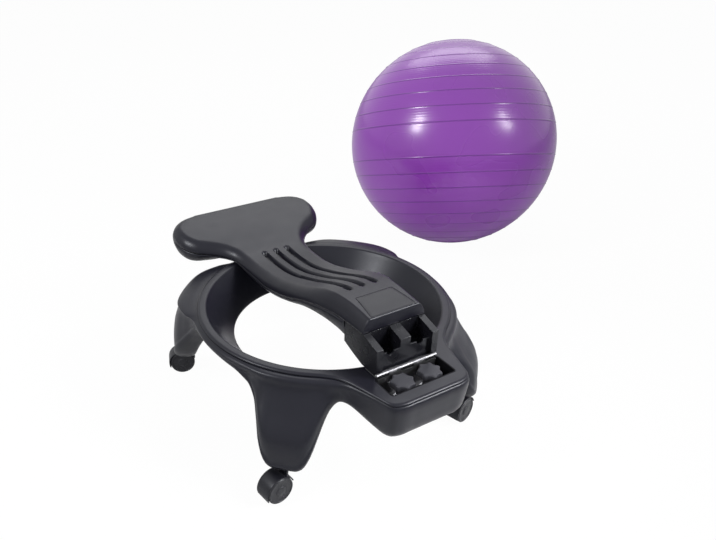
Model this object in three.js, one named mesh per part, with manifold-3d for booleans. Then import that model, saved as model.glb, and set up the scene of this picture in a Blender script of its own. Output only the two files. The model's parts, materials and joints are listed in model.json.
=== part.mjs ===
// A balance ball chair: an exercise ball, and a moulded base with four casters, a rear hub with two
// clamping knobs, and a lumbar backrest that folds flat over the ring. Millimetres, +Z up.
// The backrest is folded and the ball stands on the floor beside the base, as the chair is stored.
import * as THREE from 'three';
import { mergeVertices } from 'three/addons/utils/BufferGeometryUtils.js';
import Module from 'manifold-3d';

const wasm = await Module();
wasm.setup();

// Driving dimensions of the base
const fit_gap = 0.35;
const moulded_wall = 3;
const overrun = 5;
const ring_top_z = 205;
const parting_drop = 4.5;
const parting_r = 222.7;
const seat_edge_r = 205.2;
const hole_r = 160.5;
const hole_edge_z = 146;
const ring_bulge = 7.1;
const ring_depth = 57.3;
const top_edge_round = 5.5;
const seat_edge_round = 5.8;

// Driving dimensions of the legs and the hub
const front_leg_azimuth = 45;
const rear_leg_azimuth = 44;
const front_leg_breadth = 1.3;
const leg_bottom_z = 56.5;
const leg_reach = 62.5;
const hub_rear_y = 305;
const hub_depth = 66.5;
const hub_draft = 12;

// Driving dimensions of the knob recess, the knobs and the hinge
const recess_half_width = 61;
const recess_front_y = 235;
const recess_rear_y = 282.5;
const recess_corner_r = 6;
const tray_depth = 38;
const tray_wall = 2;
const tray_flange = 4;
const knob_spacing = 51;
const knob_y = 259.5;
const knob_r = 19.8;
const knob_lobes = 7;
const knob_lobe_depth = 2.3;
const knob_head = 12;
const knob_top_z = 206.2;
const knob_bevel = 1.4;
const knob_neck_r = 9;
const stud_r = 4;
const stud_head_r = 7;
const stud_head = 5;
const stud_grip = 16;
const washer_r = 13;
const washer_t = 2;
const leaf_t = 2;
const leaf_half_width = 57;
const hinge_y = 236;
const hinge_z = 210;
const barrel_r = 3.5;
const pin_r = 2;
const moving_leaf_length = 26;

// Driving dimensions of the backrest, folded forwards over the ring
const backrest_length = 558;
const foot_end_y = -201;
const arch_rise = 86;
const backrest_wall = 3;
const head_half_width = 156;
const arm_half_width = 58;
const edge_round = 19;
const foot_edge_round = 13;
const groove_half_width = 4.7;
const groove_wall = 1.3;
const groove_pitch = 22;
const groove_depth = 6.5;
const groove_foot_y = -118;
const groove_head_y = 178;
const panel_far_y = -145;
const panel_far_half = 34;
const panel_near_half = 42;
const panel_t = 1.4;
const prong_tip_y = -237;
const prong_tip_z = 254;
const centre_prong_setback = 6.5;
const bracket_far_y = -152;
const bracket_bottom_z = 209.5;
const cheek_inner_x = 46;
const centre_prong_half = 9.5;
const channel_floor_z = 222;
const bracket_heel_y = -175;
const bracket_heel_z = 217;
const bracket_far_z = 225;
const web_t = 3;
const web_top_z = 241;
const web_notch_r = 6.5;
const bracket_floor_z = 234;
const foot_screw_x = 29;
const foot_screw_y = -170;
const foot_screw_seat_z = 225;
const screw_r = 2;
const screw_head_r = 4;
const screw_head = 2.4;
const boss_r = 5;
const tower_r = 6.5;
const tower_rise = 9;
const head_screw_x = 100;
const head_screw_y = 293;
const arm_screw_x = 33;
const arm_screw_y = 40;

// Driving dimensions of the casters
const front_stem_x = 185.5;
const front_stem_y = 195;
const rear_stem_x = 188;
const rear_stem_y = 188;
const wheel_r = 23.5;
const wheel_width = 11.8;
const wheel_inner_y = 3.1;
const tread_round = 2.2;
const caster_trail = 17;
const hood_r = 26.5;
const hood_t = 2.1;
const hood_half_width = 14.6;
const web_half = 2.5;
const axle_r = 3;
const stem_r = 4;
const stem_top_z = 84;
const collar_r = 6;
const socket_r = 6.6;
const socket_flange_r = 10;
const socket_flange = 1.5;
const socket_top_z = 88;
const hood_boss_r = 7;
const caster_headings = { rear_left: 8, rear_right: 15, front_left: 340, front_right: 210 };

// Driving dimensions of the ball and its place on the floor
const ball_r = 260;
const ball_wall = 1.2;
const ball_floor_x = 657.7;
const ball_floor_y = 417.9;
const ball_flat = 1.5;
const valve_r = 7;
const plug_r = 6.6;
const plug_head_r = 12;
const plug_head = 0.9;
const plug_length = 16;
const valve_lean = 21.4;
const valve_azimuth = 64.5;

const deg = Math.PI / 180;
const parting_z = ring_top_z - parting_drop;
const head_end_y = foot_end_y + backrest_length;

// Materials
const blackPlastic = new THREE.MeshStandardMaterial({ color: 0x1d1d20, roughness: 0.42, metalness: 0 });
const softPlastic = new THREE.MeshStandardMaterial({ color: 0x242427, roughness: 0.55, metalness: 0 });
const steel = new THREE.MeshStandardMaterial({ color: 0xb9bcc0, roughness: 0.3, metalness: 0.9 });
const wheelGrey = new THREE.MeshStandardMaterial({ color: 0x34343a, roughness: 0.45, metalness: 0 });
const purple = new THREE.MeshStandardMaterial({ color: 0x7b35ad, roughness: 0.35, metalness: 0 });
const paleSteel = new THREE.MeshStandardMaterial({ color: 0xd6d6da, roughness: 0.35, metalness: 0.8 });

const chair = new THREE.Group();

// Mesh and solid helpers
function addMesh(parent, name, geometry, material) {
  const mesh = new THREE.Mesh(geometry, material);
  mesh.name = name;
  parent.add(mesh);
  return mesh;
}

function mergedGeometry(geometry) {
  const bare = geometry.clone();
  bare.deleteAttribute('normal');
  bare.deleteAttribute('uv');
  const weld = 1e-3;
  return mergeVertices(bare.index ? bare.toNonIndexed() : bare, weld);
}

function solidOf(geometry) {
  const merged = mergedGeometry(geometry);
  const vertProperties = new Float32Array(merged.attributes.position.array);
  const triVerts = new Uint32Array(merged.index.array);
  return new wasm.Manifold(new wasm.Mesh({ numProp: 3, vertProperties, triVerts }));
}

function geometryOf(solid) {
  const mesh = solid.getMesh();
  const geometry = new THREE.BufferGeometry();
  geometry.setAttribute('position', new THREE.BufferAttribute(new Float32Array(mesh.vertProperties), 3));
  geometry.setIndex(new THREE.BufferAttribute(new Uint32Array(mesh.triVerts), 1));
  const flat = geometry.toNonIndexed();
  flat.computeVertexNormals();
  return flat;
}

function joinAll(geometries) {
  return geometries.map(solidOf).reduce((sum, next) => sum.add(next));
}

function cutAll(solid, geometries) {
  return geometries.map(solidOf).reduce((rest, next) => rest.subtract(next), solid);
}

function placed(geometry, x, y, z) {
  geometry.translate(x, y, z);
  return geometry;
}

function box(x0, x1, y0, y1, z0, z1) {
  const geometry = new THREE.BoxGeometry(x1 - x0, y1 - y0, z1 - z0);
  return placed(geometry, (x0 + x1) / 2, (y0 + y1) / 2, (z0 + z1) / 2);
}

function rodZ(radius, z0, z1, x = 0, y = 0, sides = 12) {
  const geometry = new THREE.CylinderGeometry(radius, radius, z1 - z0, sides);
  geometry.rotateX(Math.PI / 2);
  return placed(geometry, x, y, (z0 + z1) / 2);
}

function rodX(radius, x0, x1, y, z, sides = 16) {
  const geometry = new THREE.CylinderGeometry(radius, radius, x1 - x0, sides);
  geometry.rotateZ(Math.PI / 2);
  return placed(geometry, (x0 + x1) / 2, y, z);
}

function rodY(radius, y0, y1, x, z, sides = 16) {
  const geometry = new THREE.CylinderGeometry(radius, radius, y1 - y0, sides);
  return placed(geometry, x, (y0 + y1) / 2, z);
}

// A profile of [radius, height] pairs turned about Z
function turned(profile, sides) {
  const points = profile.map(([r, z]) => new THREE.Vector2(Math.max(r, 0), z));
  const geometry = new THREE.LatheGeometry(points, sides);
  geometry.rotateX(Math.PI / 2);
  return outward(geometry);
}

function roundedPlan(halfX, y0, y1, radius) {
  const shape = new THREE.Shape();
  shape.moveTo(-halfX + radius, y0);
  shape.lineTo(halfX - radius, y0);
  shape.absarc(halfX - radius, y0 + radius, radius, -Math.PI / 2, 0);
  shape.lineTo(halfX, y1 - radius);
  shape.absarc(halfX - radius, y1 - radius, radius, 0, Math.PI / 2);
  shape.lineTo(-halfX + radius, y1);
  shape.absarc(-halfX + radius, y1 - radius, radius, Math.PI / 2, Math.PI);
  shape.lineTo(-halfX, y0 + radius);
  shape.absarc(-halfX + radius, y0 + radius, radius, Math.PI, 1.5 * Math.PI);
  return shape;
}

function upright(shape, z0, z1, curveSegments = 2) {
  const options = { depth: z1 - z0, bevelEnabled: false, curveSegments };
  return placed(new THREE.ExtrudeGeometry(shape, options), 0, 0, z0);
}

// An outline in the YZ plane, extruded across X
function crosswise(points, x0, x1) {
  const shape = new THREE.Shape(points.map(([y, z]) => new THREE.Vector2(y, z)));
  const geometry = new THREE.ExtrudeGeometry(shape, { depth: x1 - x0, bevelEnabled: false });
  geometry.rotateY(Math.PI / 2);
  geometry.rotateX(Math.PI / 2);
  return placed(geometry, x0, 0, 0);
}

function signedVolume(geometry) {
  const p = geometry.attributes.position;
  const index = geometry.index;
  const count = index ? index.count : p.count;
  let volume = 0;
  for (let k = 0; k < count; k += 3) {
    const [a, b, c] = [0, 1, 2].map((n) => {
      const v = index ? index.getX(k + n) : k + n;
      return new THREE.Vector3(p.getX(v), p.getY(v), p.getZ(v));
    });
    volume += a.dot(b.cross(c)) / 6;
  }
  return volume;
}

function outward(geometry) {
  const merged = mergedGeometry(geometry);
  if (signedVolume(merged) >= 0) {
    return merged;
  }
  const array = merged.index.array;
  for (let k = 0; k < array.length; k += 3) {
    [array[k], array[k + 1]] = [array[k + 1], array[k]];
  }
  return merged;
}

function geometryFrom(vertices, faces) {
  const geometry = new THREE.BufferGeometry();
  const positions = new Float32Array(vertices.flatMap((v) => [v.x, v.y, v.z]));
  geometry.setAttribute('position', new THREE.BufferAttribute(positions, 3));
  geometry.setIndex(faces.flat());
  return outward(geometry);
}

// A closed loop of stations, each a closed loop of points: one skin right round
function loopOfLoops(stations) {
  const rows = stations.length;
  const columns = stations[0].length;
  const faces = [];
  for (let i = 0; i < rows; i += 1) {
    for (let j = 0; j < columns; j += 1) {
      const a = i * columns + j;
      const b = i * columns + ((j + 1) % columns);
      const c = ((i + 1) % rows) * columns + ((j + 1) % columns);
      const d = ((i + 1) % rows) * columns + j;
      faces.push([a, b, c], [a, c, d]);
    }
  }
  return geometryFrom(stations.flat(), faces);
}

// An outer and an inner grid of points, joined along their shared border
function twoSkins(outer, inner) {
  const rows = outer.length;
  const columns = outer[0].length;
  const size = rows * columns;
  const faces = [];
  const at = (i, j) => i * columns + j;
  for (let i = 0; i < rows - 1; i += 1) {
    for (let j = 0; j < columns - 1; j += 1) {
      const [a, b, c, d] = [at(i, j), at(i, j + 1), at(i + 1, j + 1), at(i + 1, j)];
      faces.push([a, b, c], [a, c, d]);
      faces.push([size + c, size + b, size + a], [size + d, size + c, size + a]);
    }
  }
  const border = [];
  for (let j = 0; j < columns; j += 1) border.push(at(0, j));
  for (let i = 1; i < rows; i += 1) border.push(at(i, columns - 1));
  for (let j = columns - 2; j >= 0; j -= 1) border.push(at(rows - 1, j));
  for (let i = rows - 2; i > 0; i -= 1) border.push(at(i, 0));
  border.forEach((a, k) => {
    const b = border[(k + 1) % border.length];
    faces.push([b, a, size + a], [b, size + a, size + b]);
  });
  return geometryFrom([...outer.flat(), ...inner.flat()], faces);
}

function smooth(edge0, edge1, x) {
  const t = Math.min(Math.max((x - edge0) / (edge1 - edge0), 0), 1);
  return t * t * (3 - 2 * t);
}

function mix(a, b, t) {
  return a + (b - a) * t;
}

// A smooth curve through [place, value] pairs, level at both ends
function curveThrough(pairs) {
  const slope = pairs.map((pair, k) => {
    if (k === 0 || k === pairs.length - 1) return 0;
    const before = (pair[1] - pairs[k - 1][1]) / (pair[0] - pairs[k - 1][0]);
    const after = (pairs[k + 1][1] - pair[1]) / (pairs[k + 1][0] - pair[0]);
    return before * after <= 0 ? 0 : (2 * before * after) / (before + after);
  });
  return (x) => {
    if (x <= pairs[0][0]) return pairs[0][1];
    const last = pairs.length - 1;
    if (x >= pairs[last][0]) return pairs[last][1];
    const k = pairs.findIndex((pair) => pair[0] > x) - 1;
    const width = pairs[k + 1][0] - pairs[k][0];
    const t = (x - pairs[k][0]) / width;
    const h = t * t * (3 - 2 * t);
    const pull = slope[k] * t * (1 - t) * (1 - t) - slope[k + 1] * t * t * (1 - t);
    return mix(pairs[k][1], pairs[k + 1][1], h) + pull * width;
  };
}

// The base's plan: a circle that swells into the hub at the rear. Angles are from the rear, in degrees.
const hub_swell = hub_rear_y - parting_r;
const hub_swell_shares = [
  [0, 1], [5.6, 1.018], [10, 1.052], [12.3, 1.038], [14, 0.974], [15, 0.88], [16.4, 0.739], [17.6, 0.633],
  [19.8, 0.457], [23.6, 0.21], [27, 0.087], [30.5, 0.03], [35, 0],
];
const hubSwell = curveThrough(hub_swell_shares);

function fromRear(angle) {
  const turn = Math.abs((((angle + 90) % 360) + 540) % 360 - 180);
  return turn;
}

function partingRadius(angle) {
  return parting_r + hub_swell * hubSwell(fromRear(angle));
}

// Angle from the middle of the nearest leg. A front leg is broader, so its angles are scaled near it.
const leg_fade = [20, 40];

function fromLeg(angle) {
  const front = 180 - fromRear(angle);
  if (front > 90) return Math.abs(180 - front - rear_leg_azimuth);
  const away = Math.abs(front - front_leg_azimuth);
  return away / mix(front_leg_breadth, 1, smooth(...leg_fade, away));
}

// Sections of the lower shell, from the parting line round to the edge of the hole
const ring_out_shares = [0, 0.5, 0.85, 1, 0.95, 0.8, 0.5, 0, -0.8];
const ring_in_shares = [0.845, 0.68, 0.535, 0.39, 0.245, 0.11, 0];
const ring_drop_shares = [
  0, 0.03, 0.07, 0.11, 0.15, 0.19, 0.225, 0.245, 0.25, 0.28, 0.435, 0.635, 0.81, 0.95, 1, 1,
];
const hub_out_shares = [0, 0.17, 0.2, 0.08, -0.08, -0.25, -0.5, -1, -1.83];
const hub_in_shares = [0.74, 0.62, 0.49, 0.36, 0.24, 0.11, 0];
const hub_drop_shares = [
  0, 0.053, 0.158, 0.338, 0.534, 0.729, 0.865, 0.955, 0.992, 1, 0.992, 0.977, 0.955, 0.917, 0.872, 0.861,
];
const front_leg_out_shares = [0, 0.278, 0.66, 0.74, 0.878, 0.968, 1, 0.965, 0.8, 0.46, 0.294, 0.214, 0.053];
const rear_leg_out_shares = [0, 0.13, 0.2, 0.3, 0.56, 0.93, 1, 0.95, 0.76, 0.438, 0.294, 0.214, 0.053];
const leg_in_shares = [0.71, 0.3, 0];
const leg_drop_shares = [
  0, 0.007, 0.052, 0.17, 0.351, 0.594, 0.837, 0.958, 1, 0.99, 0.92, 0.767, 0.559, 0.434, 0.413, 0.398,
];
// How much of a leg there is, by angle from its middle: its arch's height, its face, and its shoulder
const arch_shares = [
  [0, 1], [3.4, 1], [5.7, 0.97], [7.8, 0.86], [10.6, 0.62], [12.9, 0.43], [15.4, 0.28], [19.6, 0.14],
  [26.5, 0.04], [45, 0],
];
const face_shares = [[0, 1], [4.1, 1], [6.8, 0.95], [9, 0.8], [11.5, 0.5], [14.6, 0.2], [19, 0.05], [45, 0]];
const shoulder_shares = [[0, 1], [5.7, 1], [9.5, 0.95], [15.8, 0.6], [20, 0.2], [25.3, 0.04], [45, 0]];
const legArch = curveThrough(arch_shares);
const legFace = curveThrough(face_shares);
const legShoulder = curveThrough(shoulder_shares);
const hub_fade = [11.5, 31];
const shoulder_points = [1, 4];
const face_points = 10;
const shell_points = ring_drop_shares.length;

function sectionRadius(outs, ins, reach, outer, j) {
  const share = j < outs.length ? outs[j] : ins[j - outs.length];
  return j < outs.length ? outer + reach * share : mix(hole_r + fit_gap, outer, share);
}

function shellPoint(angle, j) {
  const outer = partingRadius(angle);
  const hub = 1 - smooth(...hub_fade, fromRear(angle));
  const away = fromLeg(angle);
  const arch = legArch(away) * (1 - hub);
  const face = mix(legShoulder(away), legFace(away), smooth(...shoulder_points, j)) * (1 - hub);
  const leg_out_shares = fromRear(angle) > 90 ? front_leg_out_shares : rear_leg_out_shares;
  const ringR = sectionRadius(ring_out_shares, ring_in_shares, ring_bulge, outer, j);
  const hubR = sectionRadius(hub_out_shares, hub_in_shares, hub_draft, outer, j);
  const legR = sectionRadius(leg_out_shares, leg_in_shares, leg_reach, outer, j);
  const ringZ = parting_z - ring_depth * ring_drop_shares[j];
  const hubZ = parting_z - hub_depth * hub_drop_shares[j];
  const legZ = parting_z - (parting_z - leg_bottom_z) * leg_drop_shares[j];
  const r = mix(mix(ringR, hubR, hub), legR, j < face_points ? face : arch);
  const z = mix(mix(ringZ, hubZ, hub), legZ, arch);
  return new THREE.Vector3(r * Math.cos(angle * deg), r * Math.sin(angle * deg), z);
}

function stationAngles(legs) {
  const leg_marks = [0, 3.6, 6.2, 8.6, 11, 13.6, 17, 22, 30];
  const hub_marks = [0, 9.5, 12.3, 14.2, 16.4, 20, 26, 35];
  const marks = [];
  for (const mark of legs ? leg_marks : []) {
    for (const side of [-1, 1]) {
      const front = side * mark * mix(front_leg_breadth, 1, smooth(...leg_fade, mark));
      marks.push(90 + front_leg_azimuth + front, 90 - front_leg_azimuth + front);
      marks.push(270 + rear_leg_azimuth + side * mark, 270 - rear_leg_azimuth + side * mark);
    }
  }
  for (let mark = 0; mark < 360 && !legs; mark += 10) {
    if (fromRear(mark) > Math.max(...hub_marks)) marks.push(mark);
  }
  for (const mark of hub_marks) marks.push(270 + mark, 270 - mark);
  for (const centre of [0, 90, 180]) marks.push(centre);
  const sorted = marks.map((mark) => (mark + 360) % 360).sort((a, b) => a - b);
  const closest = 1.1;
  return sorted.filter((mark, k) => k === 0 || mark - sorted[k - 1] > closest);
}

// The wall inside a skin: each point goes in along the skin's normal
function innerPoint(skin, angle, j, wall) {
  const step = 0.6;
  const before = skin(angle, Math.max(j - 1, 0));
  const after = skin(angle, Math.min(j + 1, skin.count - 1));
  const round = skin(angle + step, j).sub(skin(angle - step, j));
  const normal = round.cross(after.sub(before)).normalize();
  return skin(angle, j).addScaledVector(normal, wall);
}

function polar(angle, r, z) {
  return new THREE.Vector3(r * Math.cos(angle * deg), r * Math.sin(angle * deg), z);
}

shellPoint.count = shell_points;

function baseShell() {
  const inner_steps = [14, 12, 10, 8, 6, 4, 2];
  const stations = stationAngles(true).map((angle) => {
    const loop = [];
    for (let j = 0; j < shell_points; j += 1) loop.push(shellPoint(angle, j));
    const last = shellPoint(angle, shell_points - 1);
    loop.push(last.clone().setZ(hole_edge_z - fit_gap));
    for (const j of inner_steps) loop.push(innerPoint(shellPoint, angle, j, moulded_wall));
    loop.push(polar(angle, partingRadius(angle) - moulded_wall, parting_z));
    return loop;
  });
  return loopOfLoops(stations);
}

// The top cover's skin: rounded rim, flat top, rounded seat edge and dish
const dish_shares = [0.2, 0.6, 1];
const cover_points = 4 + 3 + dish_shares.length;

function coverPoint(angle, j) {
  const outer = partingRadius(angle);
  const top = ring_top_z;
  const low = parting_z + fit_gap;
  const dishTop = { r: seat_edge_r - seat_edge_round * 0.35, z: top - seat_edge_round };
  if (j === 0) return polar(angle, outer, low);
  if (j === 1) return polar(angle, outer - top_edge_round * 0.12, mix(low, top, 0.5));
  if (j === 2) return polar(angle, outer - top_edge_round * 0.45, mix(low, top, 0.85));
  if (j === 3) return polar(angle, outer - top_edge_round, top);
  if (j === 4) return polar(angle, seat_edge_r + seat_edge_round, top);
  if (j === 5) return polar(angle, seat_edge_r + seat_edge_round * 0.35, top - seat_edge_round * 0.13);
  if (j === 6) return polar(angle, dishTop.r + seat_edge_round * 0.3, top - seat_edge_round * 0.52);
  const share = dish_shares[j - 7];
  const r = mix(dishTop.r, hole_r, share);
  return polar(angle, r, mix(dishTop.z, hole_edge_z, share));
}

coverPoint.count = cover_points;

function coverSkin() {
  const stations = stationAngles(false).map((angle) => {
    const loop = [];
    for (let j = 0; j < cover_points; j += 1) loop.push(coverPoint(angle, j));
    for (const j of [8, 7, 5, 3]) loop.push(innerPoint(coverPoint, angle, j, -moulded_wall));
    loop.push(polar(angle, partingRadius(angle) - moulded_wall, parting_z + fit_gap));
    return loop;
  });
  return loopOfLoops(stations);
}

// Screws hold the cover down: three short ones through the ring, two through the floor of the hub
const cover_screw_angles = [0, 90, 180, 262, 278];
const screw_place_r = 214.3;
const ring_seat = { seat: 181.9, foot: 190.6 };
const hub_seat = { seat: 133.4, foot: 141.5 };
const post_top_z = ring_top_z - moulded_wall;
const screw_length = 17;

function coverScrewPlaces() {
  return cover_screw_angles.map((angle) => {
    const { x, y } = polar(angle, screw_place_r, 0);
    return { x, y, ...(fromRear(angle) < hub_fade[1] ? hub_seat : ring_seat) };
  });
}

function buildBase() {
  const base = new THREE.Group();
  chair.add(base);
  let shell = solidOf(baseShell());
  const shellCuts = coverScrewPlaces().map(({ x, y, seat }) => {
    return rodZ(screw_r + fit_gap, seat - overrun, seat + 2 * overrun, x, y, 12);
  });
  for (const [x, y] of stemPlaces()) {
    shellCuts.push(rodZ(socket_r + fit_gap, leg_bottom_z - overrun, leg_bottom_z + 4 * moulded_wall, x, y));
  }
  shell = cutAll(shell, shellCuts);
  addMesh(base, 'base_shell', geometryOf(shell), blackPlastic);

  let cover = solidOf(coverSkin());
  for (const { x, y, foot } of coverScrewPlaces()) {
    cover = cover.add(solidOf(rodZ(boss_r, foot, post_top_z, x, y, 12)));
  }
  const holes = coverScrewPlaces().map(({ x, y, seat }) => {
    return rodZ(screw_r + fit_gap, seat, seat + screw_length + fit_gap, x, y, 12);
  });
  const recess = roundedPlan(recess_half_width, -recess_rear_y, -recess_front_y, recess_corner_r);
  holes.push(upright(recess, ring_top_z - 4 * overrun, ring_top_z + overrun));
  addMesh(base, 'ring_top_cover', geometryOf(cutAll(cover, holes)), blackPlastic);

  coverScrewPlaces().forEach(({ x, y, seat }, k) => {
    const head = rodZ(screw_head_r, seat - screw_head, seat, x, y, 8);
    const shank = rodZ(screw_r, seat - screw_head / 2, seat + screw_length, x, y, 8);
    addMesh(base, `cover_screw_${k + 1}`, geometryOf(joinAll([head, shank])), steel);
  });
  return base;
}

// Recess tray, studs, washers and knobs
function buildKnobs(base) {
  const inside = recess_half_width - fit_gap;
  const front = -recess_front_y - fit_gap;
  const rear = -recess_rear_y + fit_gap;
  const floorZ = ring_top_z - tray_depth;
  const corner = recess_corner_r - fit_gap;
  const outer = upright(roundedPlan(inside, rear, front, corner), floorZ, ring_top_z);
  const flangeTop = ring_top_z - moulded_wall - fit_gap;
  const flangeCorner = corner + tray_flange;
  const flangePlan = roundedPlan(inside + tray_flange, rear - tray_flange, front + tray_flange, flangeCorner);
  const flange = upright(flangePlan, flangeTop - tray_wall, flangeTop);
  const hollowPlan = roundedPlan(inside - tray_wall, rear + tray_wall, front - tray_wall, corner - tray_wall);
  const hollow = upright(hollowPlan, floorZ + tray_wall, ring_top_z + overrun);
  const holes = knobPlaces().map(([x, y]) => {
    return rodZ(stud_r + fit_gap, floorZ - overrun, floorZ + 2 * overrun, x, y);
  });
  const tray = cutAll(joinAll([outer, flange]), [hollow, ...holes]);
  addMesh(base, 'knob_tray', geometryOf(tray), softPlastic);

  const leafZ = floorZ + tray_wall + fit_gap;
  const washerZ = leafZ + leaf_t + fit_gap;
  const neckZ = washerZ + washer_t + fit_gap;
  const headZ = knob_top_z - knob_head;
  knobPlaces().forEach(([x, y], k) => {
    const side = k === 0 ? 'left' : 'right';
    const studHead = rodZ(stud_head_r, floorZ - fit_gap - stud_head, floorZ - fit_gap, x, y, 6);
    const shank = rodZ(stud_r, floorZ - fit_gap - stud_head / 2, neckZ + stud_grip, x, y);
    addMesh(base, `knob_stud_${side}`, geometryOf(joinAll([studHead, shank])), steel);
    const washer = turned([
      [stud_r + fit_gap, washerZ], [washer_r, washerZ], [washer_r, washerZ + washer_t],
      [stud_r + fit_gap, washerZ + washer_t], [stud_r + fit_gap, washerZ],
    ], 16);
    addMesh(base, `knob_washer_${side}`, placed(washer, x, y, 0), steel);
    const star = new THREE.Shape(starOutline(knob_r, knob_lobe_depth, knob_lobes));
    const bevel = knob_bevel;
    const head = new THREE.ExtrudeGeometry(star, {
      depth: knob_head - 2 * bevel, bevelThickness: bevel, bevelSize: bevel, bevelOffset: -bevel, bevelSegments: 1,
    });
    head.translate(0, 0, headZ + bevel);
    const neck = rodZ(knob_neck_r, neckZ, headZ + bevel);
    const bore = rodZ(stud_r + fit_gap, neckZ - overrun, neckZ + stud_grip + 1.5 * fit_gap);
    const knob = cutAll(joinAll([head, neck]), [bore]);
    addMesh(base, `knob_${side}`, placed(geometryOf(knob), x, y, 0), softPlastic);
  });
  return { leafZ };
}

function knobPlaces() {
  return [[-knob_spacing / 2, -knob_y], [knob_spacing / 2, -knob_y]];
}

function starOutline(radius, depth, lobes) {
  const steps = lobes * 6;
  const points = [];
  for (let k = 0; k < steps; k += 1) {
    const t = (k / steps) * 2 * Math.PI;
    const lobe = (1 - Math.cos(lobes * t)) / 2;
    const waist = (1 - Math.cos(2 * lobes * t)) / 2;
    const r = radius - depth * (lobe + waist / 4);
    points.push(new THREE.Vector2(r * Math.cos(t), r * Math.sin(t)));
  }
  return points;
}

// The hinge: five knuckles on one pin, along the front edge of the recess
const knuckle_shares = [-1, -0.61, -0.21, 0.21, 0.61, 1];
const knuckle_x = knuckle_shares.map((share) => share * leaf_half_width);

function knuckles(indexes) {
  const gap = fit_gap / 2;
  return indexes.map((k) => {
    return rodX(barrel_r, knuckle_x[k] + gap, knuckle_x[k + 1] - gap, -hinge_y, hinge_z, 10);
  });
}

function buildFixedLeaf(base, leafZ) {
  const y0 = -hinge_y - barrel_r;
  const half = leaf_half_width - leaf_t;
  const plate = box(-half, half, y0, y0 + leaf_t, leafZ, hinge_z);
  const floorPlate = box(-half, half, -knob_y - washer_r, y0 + leaf_t, leafZ, leafZ + leaf_t);
  const cuts = [0, 2, 4].map((k) => {
    const gap = fit_gap / 2;
    const low = hinge_z - barrel_r - leaf_t;
    return box(knuckle_x[k] - gap, knuckle_x[k + 1] + gap, y0 - overrun, y0 + 2 * overrun, low, hinge_z + overrun);
  });
  const holes = knobPlaces().map(([x, y]) => rodZ(stud_r + fit_gap, leafZ - overrun, leafZ + overrun, x, y));
  const plates = cutAll(joinAll([plate, floorPlate]), [...cuts, ...holes]);
  const barrels = knuckles([1, 3]).map(solidOf).reduce((sum, next) => sum.add(next), plates);
  const bore = rodX(pin_r + fit_gap, -2 * leaf_half_width, 2 * leaf_half_width, -hinge_y, hinge_z, 8);
  addMesh(base, 'hinge_fixed_leaf', geometryOf(cutAll(barrels, [bore])), paleSteel);
  const pin = rodX(pin_r, -leaf_half_width, leaf_half_width, -hinge_y, hinge_z, 8);
  addMesh(base, 'hinge_pin', pin, steel);
}

// The backrest's curves. A share along is of its length from the foot end; a height is a share of its arch.
const top_shares = [
  [0, 0.953], [0.056, 0.983], [0.101, 1], [0.15, 0.988], [0.188, 0.942], [0.241, 0.831], [0.322, 0.622],
  [0.4, 0.448], [0.473, 0.314], [0.54, 0.244], [0.618, 0.221], [0.68, 0.244], [0.745, 0.302], [0.817, 0.39],
  [0.908, 0.494], [1, 0.57],
];
const parting_shares = [
  [0, 0.686], [0.092, 0.663], [0.183, 0.616], [0.274, 0.465], [0.364, 0.233], [0.455, 0.07], [0.545, 0.012],
  [0.636, 0.012], [0.726, 0.087], [0.817, 0.186], [0.908, 0.273], [1, 0.35],
];
const low_shares = [
  [0.089, 0.233], [0.138, 0.291], [0.19, 0.326], [0.234, 0.314], [0.283, 0.25], [0.397, 0.012],
  [0.473, -0.116], [0.545, -0.186], [0.609, -0.198], [0.655, -0.15], [0.685, -0.06], [0.705, 0.007],
  [0.735, 0.012], [0.768, 0.012], [0.8, -0.06], [0.85, -0.1], [0.92, -0.06], [1, 0.06],
];
const width_shares = [
  [0, 0], [0.11, 0.015], [0.19, 0.065], [0.255, 0.095], [0.364, 0.105], [0.473, 0.115], [0.6, 0.125],
  [0.663, 0.145],
  [0.708, 0.2], [0.741, 0.31], [0.766, 0.46], [0.786, 0.63], [0.804, 0.78], [0.828, 0.89], [0.857, 0.965],
  [0.895, 1], [0.926, 0.985], [0.953, 0.91], [0.975, 0.78], [0.989, 0.62], [1, 0.38],
];

function along(share) {
  return foot_end_y + share * backrest_length;
}

function archCurve(shares) {
  return curveThrough(shares.map(([place, height]) => [along(place), ring_top_z + height * arch_rise]));
}

const topCurve = archCurve(top_shares);
const partingCurve = archCurve(parting_shares);
const lowCurve = archCurve(low_shares);
const widthShare = curveThrough(width_shares.map(([place, share]) => [along(place), share]));

function halfWidth(y) {
  return arm_half_width + (head_half_width - arm_half_width) * widthShare(y);
}

// Outline points on one side, for distances from the backrest's edge
const outline_steps = 140;
const sideOutline = [];
for (let k = 0; k <= outline_steps; k += 1) {
  const y = mix(foot_end_y - 2 * edge_round, head_end_y, k / outline_steps);
  sideOutline.push([halfWidth(y), y]);
}
sideOutline.push([0, head_end_y]);

function edgeDistance(x, y) {
  const px = Math.abs(x);
  let best = Infinity;
  for (let k = 0; k < sideOutline.length - 1; k += 1) {
    const [ax, ay] = sideOutline[k];
    const [bx, by] = sideOutline[k + 1];
    const length2 = (bx - ax) ** 2 + (by - ay) ** 2;
    const t = Math.min(Math.max(((px - ax) * (bx - ax) + (y - ay) * (by - ay)) / length2, 0), 1);
    best = Math.min(best, Math.hypot(px - ax - t * (bx - ax), y - ay - t * (by - ay)));
  }
  return best;
}

function crown(distance, radius, power) {
  const u = 1 - Math.min(Math.max(distance / radius, 0), 1);
  return (1 - u ** power) ** (1 / power);
}

function edgeRoundAt(y) {
  return mix(foot_edge_round, edge_round, smooth(along(0.13), along(0.33), y));
}

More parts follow.
